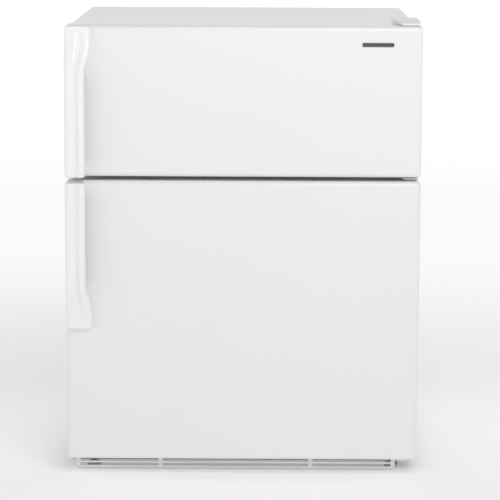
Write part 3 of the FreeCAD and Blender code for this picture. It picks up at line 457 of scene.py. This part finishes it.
print("finishes")
enamel = whiteEnamel()
whitePlastic = mouldedPlastic("white plastic", (0.87, 0.87, 0.865), (0.845, 0.845, 0.838), 0.30)
handlePlastic = mouldedPlastic("handle plastic", (0.895, 0.895, 0.892), (0.885, 0.885, 0.88), 0.24,
                               1800, 0.00003, 0.05)
grillePlastic = mouldedPlastic("grille plastic", (0.82, 0.82, 0.815), (0.78, 0.78, 0.77), 0.36)
greyPlastic = mouldedPlastic("grey plastic", (0.42, 0.43, 0.44), (0.36, 0.37, 0.38), 0.5)
blackPlastic = mouldedPlastic("black plastic", (0.035, 0.035, 0.038), (0.025, 0.025, 0.027), 0.5)
liner = linerPlastic()
clear = clearPlastic()
glassPane = shelfGlass()
gasketVinyl = softVinyl("gasket vinyl", (0.70, 0.70, 0.69), (0.63, 0.63, 0.62))
blackRubber = softVinyl("black rubber", (0.03, 0.03, 0.03), (0.02, 0.02, 0.02))
zincSheet = galvanisedSheet()
zincScrew = screwZinc()
hingeEnamel = darkPaint("hinge enamel", (0.70, 0.70, 0.69), (0.78, 0.78, 0.77), 0.38)
blackPaint = darkPaint("black paint", (0.018, 0.018, 0.019), (0.16, 0.16, 0.16), 0.38)
coilPaint = darkPaint("coil paint", (0.015, 0.015, 0.016), (0.08, 0.08, 0.08), 0.45)
fins = finAluminium()
bulb = bulbGlass()
badgeDark = darkBadge()
wirePlastic = mouldedPlastic("dipped wire", (0.86, 0.86, 0.855), (0.83, 0.83, 0.825), 0.32)
foamLook = mouldedPlastic("rigid foam", (0.80, 0.70, 0.42), (0.72, 0.62, 0.36), 0.8, 700, 0.0006, 0.6)


cameraLook = {
    "place": (0.027, -4.7933, 1.2113),
    "tiltDown": 9.448,
    "turn": 0.168,
    "roll": 0.259,
    "lens": 162.2,
}
studioLook = {
    "horizon": (1.0, 1.0, 1.0),
    "zenith": (0.30, 0.30, 0.303),
    "skyStrength": 0.99,
    "floor": (0.87, 0.87, 0.872),
    "floorReach": 60.0,
    "paintedGlowMiddle": (0, -1.1, 0),
    "paintedFloorGlow": [(0.0, 0.15), (1.5, 0.30), (3.7, 0.46), (10.0, 0.64)],      # metres from there, level
    "frontSoftbox": {"place": (0.65, -2.1, 2.35), "aim": (0, -0.35, 0.8), "size": 1.2, "power": 18},
    "leftSoftbox": {"place": (-3.2, -2.6, 1.6), "aim": (0, -0.2, 0.5), "size": 2.4, "power": 9},
}


def makeCamera():
    data = bpy.data.cameras.new("camera")
    data.lens = cameraLook["lens"]
    data.sensor_width = 36
    data.clip_end = 200
    camera = bpy.data.objects.new("camera", data)
    bpy.context.scene.collection.objects.link(camera)
    turn = Matrix.Rotation(radians(cameraLook["turn"]), 4, "Z")
    tilt = Matrix.Rotation(radians(90 - cameraLook["tiltDown"]), 4, "X")
    roll = Matrix.Rotation(radians(cameraLook["roll"]), 4, "Z")
    camera.matrix_world = Matrix.Translation(cameraLook["place"]) @ turn @ tilt @ roll
    bpy.context.scene.camera = camera


def softbox(name, place, aim, size, power):
    data = bpy.data.lights.new(name, "AREA")
    data.shape = "SQUARE"
    data.size = size
    data.energy = power
    lamp = bpy.data.objects.new(name, data)
    bpy.context.scene.collection.objects.link(lamp)
    lamp.location = place
    lamp.rotation_euler = (Vector(aim) - Vector(place)).to_track_quat("-Z", "Y").to_euler()


def makeSky():
    # White at the horizon, darker overhead.
    world = bpy.data.worlds.new("studio")
    bpy.context.scene.world = world
    world.use_nodes = True
    tree = world.node_tree
    sky = tree.nodes["Background"]
    sky.inputs["Strength"].default_value = studioLook["skyStrength"]
    where = tree.nodes.new("ShaderNodeTexCoord")
    split = tree.nodes.new("ShaderNodeSeparateXYZ")
    fade = tree.nodes.new("ShaderNodeValToRGB")
    fade.color_ramp.elements[0].color = (*studioLook["horizon"], 1)
    fade.color_ramp.elements[1].color = (*studioLook["zenith"], 1)
    tree.links.new(where.outputs["Generated"], split.inputs["Vector"])
    tree.links.new(split.outputs["Z"], fade.inputs["Fac"])
    tree.links.new(fade.outputs["Color"], sky.inputs["Color"])


def makeFloor():
    # A wide sheet of paper with painted light: it glows, more the farther away it is, though it is no lamp.
    steps, far = 96, studioLook["floorReach"]
    points = [(far * cos(2 * pi * k / steps), far * sin(2 * pi * k / steps), 0) for k in range(steps)]
    floor = meshPiece("studioFloor", points, [tuple(range(steps))])
    paper = newFinish("studio paper", studioLook["floor"], 0.9)
    glow = studioLook["paintedFloorGlow"]
    reach = glow[-1][0]
    where = addNode(paper, "ShaderNodeTexCoord")
    away = addNode(paper, "ShaderNodeVectorMath", "DISTANCE")
    away.inputs[1].default_value = studioLook["paintedGlowMiddle"]
    wire(paper, where.outputs["Object"], away.inputs[0])
    curve = addNode(paper, "ShaderNodeValToRGB")
    curve.color_ramp.interpolation = "EASE"
    for k, (metres, level) in enumerate(glow):
        stop = curve.color_ramp.elements[k] if k < 2 else curve.color_ramp.elements.new(1.0)
        stop.position = metres / reach
        stop.color = (level, level, level, 1)
    wire(paper, remap(paper, away.outputs["Value"], 0, reach), curve.inputs["Fac"])
    # Painted light: the paper's emission rises with distance from the glow's middle.
    wire(paper, curve.outputs["Color"], shader(paper).inputs["Emission Color"])
    shader(paper).inputs["Emission Strength"].default_value = 1.0
    addBumps(paper, [(noise(paper, 350, 2), 0.0003, 0.05)])
    floor.data.materials.append(paper)


def makeStudio():
    makeSky()
    for name in ("frontSoftbox", "leftSoftbox"):
        softbox(name, **studioLook[name])
    makeFloor()
    bpy.context.scene.view_settings.view_transform = "Standard"


makeCamera()
makeStudio()
print("camera and studio")


doorLook = {
    "edge": 0.0105,       # roll of the front edges
    "corner": 0.0075,     # corners seen from the front
    "sheet": 0.0012,
    "hem": 0.0006,        # fold of the back edge
    "steps": 7,
}


def doorPan(name, node, body):
    low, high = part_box(node)
    look = doorLook
    sheet, edge, corner, hem = look["sheet"], look["edge"], look["corner"], look["hem"]
    front, back = low.y, high.y

    def ring(inset, y, curve):
        return ringPoints((low.x + inset, high.x - inset), (low.z + inset, high.z - inset), curve, y)

    def rolled(shrink):
        rows = []
        for turn in bends(look["steps"]):
            inset = (edge - shrink) * (1 - cos(turn))
            y = front + shrink + (edge - shrink) * (1 - sin(turn))
            rows.append(ring(shrink + inset, y, max(corner - shrink - inset, 0.001)))
        return rows

    rows = rolled(sheet)[::-1]
    rows += [ring(sheet, back - hem, corner - sheet), ring(sheet * 0.6, back, corner - sheet),
             ring(sheet * 0.25, back, corner), ring(0, back - hem, corner)]
    rows += rolled(0)
    return dress(ringLoft(name, rows), enamel, body, "painted_white", node)


handleLook = {
    "width": 0.041, "proud": 0.038, "flareWidth": 0.052, "flareProud": 0.0135,
    "flare": 0.095,           # length that spreads and sinks towards the door
    "spread": 0.055,
    "corner": 0.008,
    "endRound": 0.0035,
    "foot": 0.022, "wall": 0.009,
    "finger": 0.024, "fingerRound": 0.006,
    "openLead": 0.004, "openRun": 0.010, "closeLead": 0.006, "closeRun": 0.012,
    "lipFoot": 0.0015, "lipWall": 0.006,
    # Across the handle and out from the door, as shares: a crown, a groove and a lip.
    "crown": [(0.0, 0.0), (0.0, 0.35), (0.0, 0.60), (0.012, 0.72), (0.045, 0.835), (0.10, 0.92),
              (0.17, 0.97), (0.26, 0.993), (0.36, 0.995), (0.44, 0.975), (0.495, 0.93), (0.53, 0.87),
              (0.565, 0.835), (0.60, 0.83), (0.635, 0.85), (0.67, 0.90), (0.71, 0.945), (0.77, 0.965),
              (0.84, 0.96), (0.905, 0.93), (0.955, 0.875), (0.985, 0.80), (1.0, 0.70), (1.0, 0.64)],
}


def ease(t):
    t = max(0.0, min(1.0, t))
    return t * t * (3 - 2 * t)


def roundedIn(radius, reach):
    # How far a rounded end stands in at a distance from it.
    return radius - (radius ** 2 - max(0.0, radius - reach) ** 2) ** 0.5


def handleSection(along, length, left, doorFront, level):
    # Outline of the grip at a height, with the finger room behind it where it has one.
    look = handleLook
    flare, wall = look["flare"], look["wall"]
    past = along - (length - flare)
    width = look["width"] + (look["flareWidth"] - look["width"]) * ease(past / look["spread"])
    proud = look["proud"] + (look["flareProud"] - look["proud"]) * ease(past / flare)
    dip = roundedIn(look["endRound"], min(along, length - along))
    side = dip + roundedIn(look["corner"], length - along)
    opens = ease((along - look["foot"] + look["openLead"]) / look["openRun"])
    closes = 1 - ease((along - (length - flare - look["closeLead"])) / look["closeRun"])
    share = max(min(opens, closes), 0.0)
    floorLine = doorFront - 0.0002
    top = min(doorFront - look["finger"] * share, floorLine)
    lipRight = left + width - side
    lipLow = doorFront - max(0.0, look["crown"][-1][1] * proud - dip)
    outline = [(left + side + a * (width - 2 * side), doorFront - max(0.0, o * proud - dip), level)
               for a, o in look["crown"]]
    outline.append((lipRight - look["lipFoot"], lipLow * share + floorLine * (1 - share), level))
    outline.append((lipRight - look["lipWall"], top, level))
    outline.append((left + width * 0.55, top, level))
    curve = look["fingerRound"] * share
    for turn in bends(4):
        outline.append((left + wall + curve * (1 - sin(turn)), top + curve * (1 - cos(turn)), level))
    outline.append((left + wall, floorLine, level))
    return outline


def handlePiece(name, node, body, near, direction, doorFront):
    look = handleLook
    low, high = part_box(node)
    length = high.z - low.z
    opening = look["foot"] - look["openLead"]
    closing = length - look["flare"] - look["closeLead"]
    flareStart = closing + look["closeRun"]
    ends = (0.0, 0.0004, 0.001, 0.002, 0.0035, 0.0045, 0.006)
    stops = list(ends[:5])
    for start, end, steps in ((opening, opening + 0.0125, 6), (opening + 0.0125, closing, 14),
                              (closing, flareStart, 6), (flareStart, length - look["corner"], 16)):
        stops += [start + (end - start) * k / steps for k in range(0 if start == opening else 1, steps + 1)]
    stops += [length - end for end in reversed(ends)]
    rows = [handleSection(along, length, low.x, doorFront, near + direction * along) for along in stops]
    return dress(ringLoft(name, rows, angle=48), handlePlastic, body, "white_plastic", node)


bushingLook = {
    "section": [(0.0041, -0.0165), (0.0041, 0.0), (0.0048, 0.0006), (0.0102, 0.0006), (0.0108, 0.0002),
                (0.0108, -0.0004), (0.0090, -0.0006), (0.0090, -0.0195), (0.0041, -0.0195)],
}


def hingeBushings(name, node, body):
    low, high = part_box(node)
    x, y = (low.x + high.x) / 2, (low.y + high.y) / 2
    ends = [lathe(name + "End", bushingLook["section"], (x, y, level), (0, 0, way))
            for level, way in ((low.z, -1), (high.z, 1))]
    return dress(joinPieces(name, ends), whitePlastic, body, "white_plastic", node)


gasketLook = {
    "section": [(0.0, 0.0), (0.0, 0.35), (0.10, 0.46), (0.02, 0.60), (0.05, 0.80), (0.14, 0.95),
                (0.28, 1.0), (0.72, 1.0), (0.86, 0.95), (0.95, 0.80), (0.98, 0.60), (0.90, 0.46),
                (1.0, 0.35), (1.0, 0.0)],
    "width": 0.016,
    "corner": 0.010,
}


def doorGasket(name, node, body):
    # A bellows strip round the door's back, with mitred corners.
    low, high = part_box(node)
    look = gasketLook
    rows = []
    for across, out in look["section"]:
        inset = across * look["width"]
        y = low.y + out * (high.y - low.y)
        rows.append(ringPoints((low.x + inset, high.x - inset), (low.z + inset, high.z - inset),
                               max(look["corner"] - inset, 0.0015), y, 5))
    rows.append(rows[0])
    piece = ringLoft(name, rows, capStart=False, capEnd=False, angle=50)
    return dress(piece, gasketVinyl, body, "gasket", node)


foamSizes = {"gap": 0.0014, "round": 0.009}


def foamCore(name, node, body, skin, back):
    # Fills the door between its skin and its inner panel.
    low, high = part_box(skin)
    gap = foamSizes["gap"]
    core = softBox(name, low + Vector((gap, gap, gap)), Vector((high.x - gap, back, high.z - gap)),
                   foamSizes["round"])
    return dress(core, foamLook, body, "foam", node)


linerLook = {
    "crest": 0.005,        # roll along the top of the raised rim
    "foot": 0.003,
    "rim": 0.018,
    "sideGap": 0.060,      # door's side to the raised rim
    "tuck": 0.0015,        # liner's edge inside the skin
    "rimEnds": {"freezer_door": (0.029, 0.061), "fridge_door": (0.054, 0.029)},
    "corner": 0.014,
    "trayCorner": 0.008,
    "flangeCorner": 0.006,
    "sheet": 0.0025,
    "edge": 0.0006,
}


def doorLiner(name, node, body):
    # The moulded inner door: flat flange, raised rim, shallow tray inside it.
    look = linerLook
    low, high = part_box(node)
    face, top = low.y + look["sheet"], high.y
    crest, foot, rim, corner, edge = (look[key] for key in ("crest", "foot", "rim", "corner", "edge"))
    below, above = look["rimEnds"][body]
    side = look["sideGap"]

    def ring(inset, y, curve):
        x = (low.x - look["tuck"] + side + inset, high.x + look["tuck"] - side - inset)
        z = (low.z - look["tuck"] + below + inset, high.z + look["tuck"] - above - inset)
        return ringPoints(x, z, curve, y, 6)

    def flange(inset, y):
        return ringPoints((low.x + inset, high.x - inset), (low.z + inset, high.z - inset),
                          look["flangeCorner"] - inset * 5 / 6, y, 6)

    turns = bends(4)
    rows = [flange(0, low.y), flange(0, face - edge), flange(edge, face)]
    rows += [ring(-foot * (1 - sin(turn)), face + foot * (1 - cos(turn)), corner) for turn in turns]
    rows += [ring(crest * (1 - cos(turn)), top - crest * (1 - sin(turn)), corner - crest * (1 - cos(turn)))
             for turn in turns]
    rows += [ring(rim - crest * (1 - sin(turn)), top - crest * (1 - cos(turn)), corner - crest)
             for turn in turns]
    rows += [ring(rim + foot * (1 - cos(turn)), face + foot * (1 - sin(turn)), look["trayCorner"])
             for turn in turns]
    return dress(ringLoft(name, rows), liner, body, "liner_plastic", node)


badgeLook = {
    "corner": 0.0022,
    "section": [(0.0, 0.0), (0.0, 0.55), (0.0002, 0.8), (0.0006, 0.95), (0.0012, 1.0), (0.0018, 1.0),
                (0.0021, 0.86), (0.0024, 0.86)],
}


def badgePiece():
    # A blank plate with a raised edge.
    low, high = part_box("badge_plate")
    rows = []
    for inset, out in badgeLook["section"]:
        y = high.y + (low.y - high.y) * out
        rows.append(ringPoints((low.x + inset, high.x - inset), (low.z + inset, high.z - inset),
                               max(badgeLook["corner"] - inset, 0.0004), y, 6))
    return dress(ringLoft("badgePlate", rows), badgeDark, "freezer_door", "badge", "badge_plate")


def makeDoors():
    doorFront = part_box("freezer_door_skin")[0].y
    for door in ("freezer_door", "fridge_door"):
        doorPan(door + "Pan", door + "_skin", door)
        hingeBushings(door + "Bushings", door + "_bushings", door)
        doorGasket(door + "Gasket", door + "_gasket", door)
        doorLiner(door + "Liner", door + "_liner", door)
        foamCore(door + "Foam", door + "_foam", door, door + "_skin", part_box(door + "_liner")[0].y)
        coat(zincScrew, door + "_handle_screws")
        coat(clear, door + "_bins")
        low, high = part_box(door + "_handle")
        near, direction = (low.z, 1) if door == "freezer_door" else (high.z, -1)
        handlePiece(door + "Handle", door + "_handle", door, near, direction, doorFront)
    badgePiece()
    coat(clear, "dairy_lid")
    print("doors")


cabinetLook = {"roll": 0.004, "steps": 5, "sheet": 0.0012, "soft": 0.0003}


def outerShell():
    # The folded wrap: rolled long edges, open at the back and the base.
    low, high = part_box("outer_cabinet_shell")
    sheet, roll, soft = cabinetLook["sheet"], cabinetLook["roll"], cabinetLook["soft"]
    window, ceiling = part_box("fridge_liner")[0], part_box("freezer_liner")[1].z
    sideIn, topIn = window.x - low.x, high.z - ceiling

    def path(side, top, y):
        # From the foot of one side, over the top and down the other.
        bend = max(roll - side, 0.0008)
        x0, x1, peak = low.x + side, high.x - side, high.z - top
        line = [(x0, y, low.z), (x0, y, (low.z + peak) / 2)]
        for turn in bends(cabinetLook["steps"]):
            line.append((x0 + bend * (1 - cos(turn)), y, peak - bend * (1 - sin(turn))))
        for turn in bends(cabinetLook["steps"]):
            line.append((x1 - bend * (1 - sin(turn)), y, peak - bend * (1 - cos(turn))))
        line += [(x1, y, (low.z + peak) / 2), (x1, y, low.z)]
        return line

    rows = [path(sheet, sheet, high.y), path(0.0, 0.0, high.y), path(0.0, 0.0, low.y + sheet),
            path(soft, soft, low.y + soft), path(sheet, sheet, low.y), path(sideIn, topIn, low.y),
            path(sideIn, topIn, low.y + sheet), path(sheet, sheet, low.y + sheet)]
    count = len(rows[0])
    points = [p for row in rows for p in row]
    faces = []
    for row in range(len(rows)):
        here, there = row * count, (row + 1) % len(rows) * count
        faces += [(here + k, here + k + 1, there + k + 1, there + k) for k in range(count - 1)]
    faces.append(tuple(row * count for row in range(len(rows))))
    faces.append(tuple(row * count + count - 1 for row in range(len(rows))))
    folded = meshPiece("outerShell", points, faces, 40)
    sill = softBox("frontSill", (window.x, low.y, low.z), (-window.x, low.y + sheet, window.z), 0.0004, 2)
    shell = joinPieces("outerShell", [folded, sill])
    return dress(shell, enamel, "cabinet", "painted_white", "outer_cabinet_shell")


grilleLook = {
    "post": 0.009,
    "endBay": 0.265,       # share of the length
    "lowerSlot": (0.005, 0.010), "upperSlot": (0.0145, 0.0215),
    "wall": 0.003, "edge": 0.0009, "endInset": 0.0015,
}


def toeGrille():
    low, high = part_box("toe_grille")
    look = grilleLook
    half, wall, edge, inset = look["post"] / 2, look["wall"], look["edge"], look["endInset"]
    end = (high.x - low.x) * look["endBay"]
    xs = [low.x, low.x + 2 * half, low.x + end - half, low.x + end + half,
          high.x - end - half, high.x - end + half, high.x - 2 * half, high.x]
    zs = [low.z] + [low.z + level for level in look["lowerSlot"] + look["upperSlot"]] + [high.z]
    holes = {(i, j) for i in (1, 3, 5) for j in (1, 3)}
    face = gridPlate("grilleFace", xs, zs, holes, (low.y, low.y + wall), edge)
    top = softBox("grilleTop", (low.x, low.y + inset, high.z - wall), (high.x, high.y, high.z), edge, 2)
    ends = [softBox("grilleEnd", (x, low.y + inset, low.z), (x + wall, high.y, high.z), edge, 2)
            for x in (low.x, high.x - wall)]
    for piece in (face, top, *ends):
        dress(piece, grillePlastic, "cabinet", "white_plastic")
    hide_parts("toe_grille")


coverLook = {
    "edge": 0.0022, "nose": 0.004, "slope": 0.040, "taper": 0.015, "taperLength": 0.078,
    "wall": 0.0018, "corner": 0.004,
    "cuts": (0.25, 0.5, 0.75, 0.9, 1.0, 1.1, 1.3),      # where the curved slope is divided
}


def hingeCover():
    # A low moulded cap that rises from the door towards the cabinet.
    low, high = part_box("top_hinge_cover")
    look = coverLook
    outline = [(low.x + look["taper"], low.y), (high.x, low.y), (high.x, high.y), (low.x, high.y),
               (low.x, low.y + look["taperLength"])]

    def ring(inset, z):
        return [(p.x, p.y, z) for p in roundPlan(outline, look["corner"], inset, 5)]

    top, wall, edge = high.z, look["wall"], look["edge"]
    rows = [ring(wall, top - wall), ring(wall, low.z), ring(0.0, low.z)]
    rows += [ring(edge * (1 - cos(turn)), top - edge * (1 - sin(turn))) for turn in bends(5)]
    cover = ringLoft("hingeCover", rows)
    shape = bmesh.new()
    shape.from_mesh(cover.data)
    for share in look["cuts"]:
        bmesh.ops.bisect_plane(shape, geom=shape.verts[:] + shape.edges[:] + shape.faces[:],
                               plane_co=(0, low.y + look["slope"] * share, 0), plane_no=(0, 1, 0))
    for vert in shape.verts:
        along = min(1.0, (vert.co.y - low.y) / look["slope"])
        rise = along * (2 - along) if along < 1 else 1.0
        share = (look["nose"] + (top - low.z - look["nose"]) * rise) / (top - low.z)
        vert.co.z = low.z + (vert.co.z - low.z) * share
    shape.to_mesh(cover.data)
    shape.free()
    return dress(cover, whitePlastic, "cabinet", "white_plastic", "top_hinge_cover")


hingeLook = {
    "thick": 0.003, "corner": 0.008, "edge": 0.0007, "drop": 0.005,
    "pin": 0.004, "pinTip": 0.0008, "pinInset": 0.022, "pinBack": 0.012, "strapHalf": 0.016,
}


def hingeSteel(name, node):
    # A pressed leaf with its pin and the strap that holds it to the cabinet.
    look = hingeLook
    low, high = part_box(node)
    thick, radius, tip = look["thick"], look["pin"], look["pinTip"]
    center = node == "center_hinge"
    doorLow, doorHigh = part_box("fridge_door_skin")
    level = (low.z + high.z) / 2 - thick / 2 if center else doorLow.z - look["drop"]
    pinX, pinY = doorHigh.x - look["pinInset"], low.y + look["pinBack"]
    leaf = slab(name + "Leaf", plan(low, high), look["corner"], (level, level + thick), look["edge"])
    ends = (low.z if center else level + thick / 2, high.z)
    profile = [(0.0001, ends[0]), (radius - tip, ends[0]), (radius, ends[0] + tip),
               (radius, ends[1] - tip), (radius - tip, ends[1]), (0.0001, ends[1])]
    pin = lathe(name + "Pin", profile, (pinX, pinY, 0), (0, 0, 1), 32)
    if center:
        middle = (low.z + high.z) / 2
        span = ((pinX - 0.003, high.y - 0.0025, middle - look["strapHalf"]),
                (high.x - 0.001, high.y, middle + look["strapHalf"]))
    else:
        span = ((low.x, high.y - 0.003, low.z), (high.x, high.y, level + thick))
    strap = softBox(name + "Strap", *span, 0.0008, 2)
    return dress(joinPieces(name, [leaf, pin, strap]), hingeEnamel, "cabinet", "hinge_enamel", node)


louvreLook = {
    "columns": (-0.210, 0.0, 0.210), "rows": 6, "first": 0.062, "pitch": 0.016,
    "long": 0.120, "tall": 0.005, "hood": 0.0025, "rise": 0.005994, "metal": 0.0006,
}


def rearCover():
    # Pressed louvres over the machine space.
    low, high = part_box("rear_access_cover")
    look = louvreLook
    long, tall = look["long"], look["tall"]
    xs = sorted([low.x, high.x] + [c + s * long / 2 for c in look["columns"] for s in (-1, 1)])
    levels = [low.z + look["first"] + look["pitch"] * row for row in range(look["rows"])]
    zs = [low.z] + [level + lift for level in levels for lift in (0, tall)] + [high.z]
    holes = {(i, j) for i in (1, 3, 5) for j in range(1, 2 * look["rows"], 2)}
    plate = gridPlate("rearCover", xs, zs, holes, (low.y, high.y), 0.0003)
    hoods = [louvre(column, level, high.y) for column in look["columns"] for level in levels]
    joined = joinPieces("rearCover", [plate] + hoods)
    return dress(joined, zincSheet, "cabinet", "galvanised", "rear_access_cover")


def louvre(x, z, y):
    # Half of a shallow dome standing over a slot, open at the bottom.
    look = louvreLook
    points, faces, across, up = [], [], 12, 5
    for i in range(across + 1):
        share = i / across
        swell = (1 - abs(2 * share - 1) ** 6) ** 0.5
        for turn in bends(up):
            points.append((x + (share - 0.5) * look["long"], y + look["rise"] * swell * cos(turn) - 0.0001,
                           z + (look["tall"] + look["hood"]) * (0.12 + 0.88 * sin(turn))))
    for i in range(across):
        for j in range(up):
            a = i * (up + 1) + j
            faces.append((a, a + 1, a + up + 2, a + up + 1))
    hood = meshPiece("hood", points, faces, 60)
    thicken = hood.modifiers.new("thicken", "SOLIDIFY")
    thicken.thickness = look["metal"]
    thicken.offset = -1
    hood.modifiers.move(1, 0)
    return hood


backLook = {
    "beads": 4, "beadRise": 0.0016, "beadHigh": 0.016, "beadInset": 0.05,
    "screwInset": 0.012, "lowScrew": 0.075, "screwRadius": 0.0045, "screwRise": 0.0024, "dimple": 0.55,
    "screwSection": [(1.0, 0.0), (1.0, 0.35), (0.86, 0.75), (0.55, 0.97), (0.30, 1.0)],
}


def screwHead(x, y, z):
    # A pan head with a dimple, facing backwards.
    radius, rise = backLook["screwRadius"], backLook["screwRise"]
    profile = [(radius * out, rise * up) for out, up in backLook["screwSection"]]
    return lathe("backScrew", profile + [(0.0001, rise * backLook["dimple"])], (x, y, z), (0, 1, 0), 24)


def backPieces():
    # Stiffening beads and the screws round the back.
    look = backLook
    low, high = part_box("back_panel")
    coverLow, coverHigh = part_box("rear_access_cover")
    left, right, half = low.x + look["beadInset"], high.x - look["beadInset"], look["beadHigh"] / 2
    beads = []
    for k in range(look["beads"]):
        z = low.z + (high.z - low.z) * (0.12 + 0.76 * k / (look["beads"] - 1))
        beads.append(softBox("bead", (left, high.y - 0.0008, z - half),
                             (right, high.y + look["beadRise"], z + half), 0.0011, 3))
    dress(joinPieces("backBeads", beads), zincSheet, "cabinet", "galvanised")
    inset = look["screwInset"]
    heads = [screwHead(x, high.y, z) for x in (low.x + inset, 0.0, high.x - inset)
             for z in (low.z + 0.010, high.z - 0.010)]
    heads += [screwHead(x, coverHigh.y, z) for x in (coverLow.x + inset, coverHigh.x - inset)
              for z in (coverLow.z + look["lowScrew"], coverHigh.z - inset)]
    dress(joinPieces("backScrews", heads), zincScrew, "cabinet", "zinc_screw")


knobLook = {
    "skirt": 0.016, "grip": 0.0112, "deep": 0.013,
    "ribs": 24, "flute": 0.04, "fluted": (0.0095, 0.0117),
    "pointer": (0.0022, 0.0108, 0.003),      # half width, half length, height
}


def knobPiece(name, node):
    # Dial with a fluted grip and a raised pointer.
    look = knobLook
    skirt, grip = look["skirt"], look["grip"]
    low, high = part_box(node)
    x, z = (low.x + high.x) / 2, (low.z + high.z) / 2
    back = low.y + look["deep"]
    profile = [(skirt, 0.0), (skirt, 0.0028), (skirt - 0.0010, 0.0040), (grip + 0.0008, 0.0046),
               (grip, 0.0054), (grip, 0.0108), (grip - 0.0012, 0.0120), (0.0001, 0.0120)]
    dial = lathe(name, profile, (x, back, z), (0, -1, 0), 96)
    for vert in dial.data.vertices:
        out = Vector((vert.co.x - x, vert.co.z - z))
        if look["fluted"][0] < out.length < look["fluted"][1]:
            angle = out.angle_signed(Vector((1, 0)))
            shrink = 1 - look["flute"] * (0.5 + 0.5 * cos(angle * look["ribs"]))
            vert.co.x, vert.co.z = x + out.x * shrink, z + out.y * shrink
    half, long, tall = look["pointer"]
    pointer = softBox(name + "Pointer", (x - half, low.y, z - long),
                      (x + half, low.y + tall, z + long), 0.0009, 3)
    shaft = lathe(name + "Shaft", [(0.003, -0.009), (0.003, 0.001)], (x, back, z), (0, -1, 0), 24)
    return dress(joinPieces(name, [dial, pointer, shaft]), whitePlastic, node, "white_plastic", node)


markLook = {"count": 9, "start": -120, "step": 30, "half": 0.0004, "out": 0.0175,
            "long": 0.00224, "short": 0.0014}


def dialMarks():
    # Raised ticks round each dial on the control housing.
    look = markLook
    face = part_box("control_housing")[0].y
    marks = []
    for node in ("freezer_control_knob", "fridge_control_knob"):
        low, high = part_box(node)
        x, z = (low.x + high.x) / 2, (low.z + high.z) / 2
        for k in range(look["count"]):
            a = radians(look["start"] + look["step"] * k)
            long = look["long"] if k % 4 == 0 else look["short"]
            tick = softBox("tick", (-look["half"], face - 0.0003, look["out"]),
                           (look["half"], face + 0.0004, look["out"] + long), 0.0001, 1)
            for vert in tick.data.vertices:
                px, pz = vert.co.x, vert.co.z
                vert.co.x, vert.co.z = x + px * cos(a) + pz * sin(a), z - px * sin(a) + pz * cos(a)
            marks.append(tick)
    return dress(joinPieces("dialMarks", marks), greyPlastic, "cabinet", "grey_plastic")


lampLook = {
    "ball": 0.013, "threads": 12, "pitch": 0.0012, "crest": 0.0086, "root": 0.0078,
    "neck": [(0.0080, 0.0150), (0.0088, 0.0185), (0.0108, 0.0225)],
}


def lampPiece():
    # A screw base, a short neck and a round bulb.
    low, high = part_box("lamp_bulb")
    look = lampLook
    ball, pitch = look["ball"], look["pitch"]
    profile = [(0.0001, 0.0)]
    for k in range(look["threads"]):
        profile += [(look["crest"], 0.0002 + pitch * k), (look["root"], 0.0008 + pitch * k)]
    profile += look["neck"]
    ballMiddle = high.y - low.y - ball
    for k in range(4, 17):
        a = pi * k / 16
        profile.append((max(ball * sin(a), 0.0001), ballMiddle - ball * cos(a)))
    profile = [p for k, p in enumerate(profile) if k == 0 or p[1] >= profile[k - 1][1] - 1e-6]
    middle = ((low.x + high.x) / 2, low.y, (low.z + high.z) / 2)
    return dress(lathe("lampBulb", profile, middle, (0, 1, 0)), bulb, "cabinet", "bulb_glass", "lamp_bulb")


drawerLook = {"wall": 0.0025, "corner": 0.006, "foot": 0.006, "taper": 0.0, "lip": 0.012,
              "pullInset": 0.04, "pullThick": 0.006, "hookDrop": 0.020}


def crisperDrawer(node):
    # An open tub with a lip along its front to pull it by.
    low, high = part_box(node)
    look = drawerLook
    front, left, right = low.y + look["lip"], low.x + look["pullInset"], high.x - look["pullInset"]
    body = tub(node + "Tub", Vector((low.x, front, low.z)), high, look["wall"], look["corner"],
               look["foot"], look["taper"])
    pull = softBox(node + "Pull", (left, low.y, high.z - look["pullThick"]), (right, front + 0.001, high.z),
                   0.0022, 3)
    hook = softBox(node + "Hook", (left, low.y, high.z - look["hookDrop"]),
                   (right, low.y + look["wall"], high.z - 0.002), 0.0011, 3)
    return dress(joinPieces(node + "Drawer", [body, pull, hook]), clear, node, "clear_plastic", node)


def makeCabinet():
    outerShell()
    toeGrille()
    hingeCover()
    rearCover()
    backPieces()
    dialMarks()
    lampPiece()
    hingeSteel("centerHinge", "center_hinge")
    hingeSteel("bottomHinge", "bottom_hinge")
    for node in ("freezer_control_knob", "fridge_control_knob"):
        knobPiece(node + "Dial", node)
    for node in ("crisper_drawer_left", "crisper_drawer_right"):
        crisperDrawer(node)
    low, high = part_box("drain_pan")
    dress(tub("drainPan", low, high, 0.002, 0.010), greyPlastic, "cabinet", "grey_plastic", "drain_pan")
    coat(enamel, "mullion_trim")
    coat(zincSheet, "back_panel", "bottom_deck", "fan_motor")
    coat(foamLook, "foam_insulation")
    coat(liner, "freezer_liner", "fridge_liner", "evaporator_cover")
    coat(blackPaint, "base_frame", "compressor")
    coat(hingeEnamel, "top_hinge")
    coat(whitePlastic, "control_housing", "door_switch_plunger", "shelf_frames")
    coat(zincScrew, "hinge_screws", "roller_axles")
    coat(glassPane, "glass_shelves", "crisper_cover")
    coat(wirePlastic, "freezer_shelf")
    coat(fins, "evaporator")
    coat(blackPlastic, "evaporator_fan", "cord_gland", "rear_roller_left", "rear_roller_right")
    coat(coilPaint, "condenser_coil", "condenser_wires", "condenser_brackets")
    coat(blackRubber, "compressor_grommets")
    coat(greyPlastic, "leveling_foot_left", "leveling_foot_right")
    print("cabinet")


makeDoors()
makeCabinet()
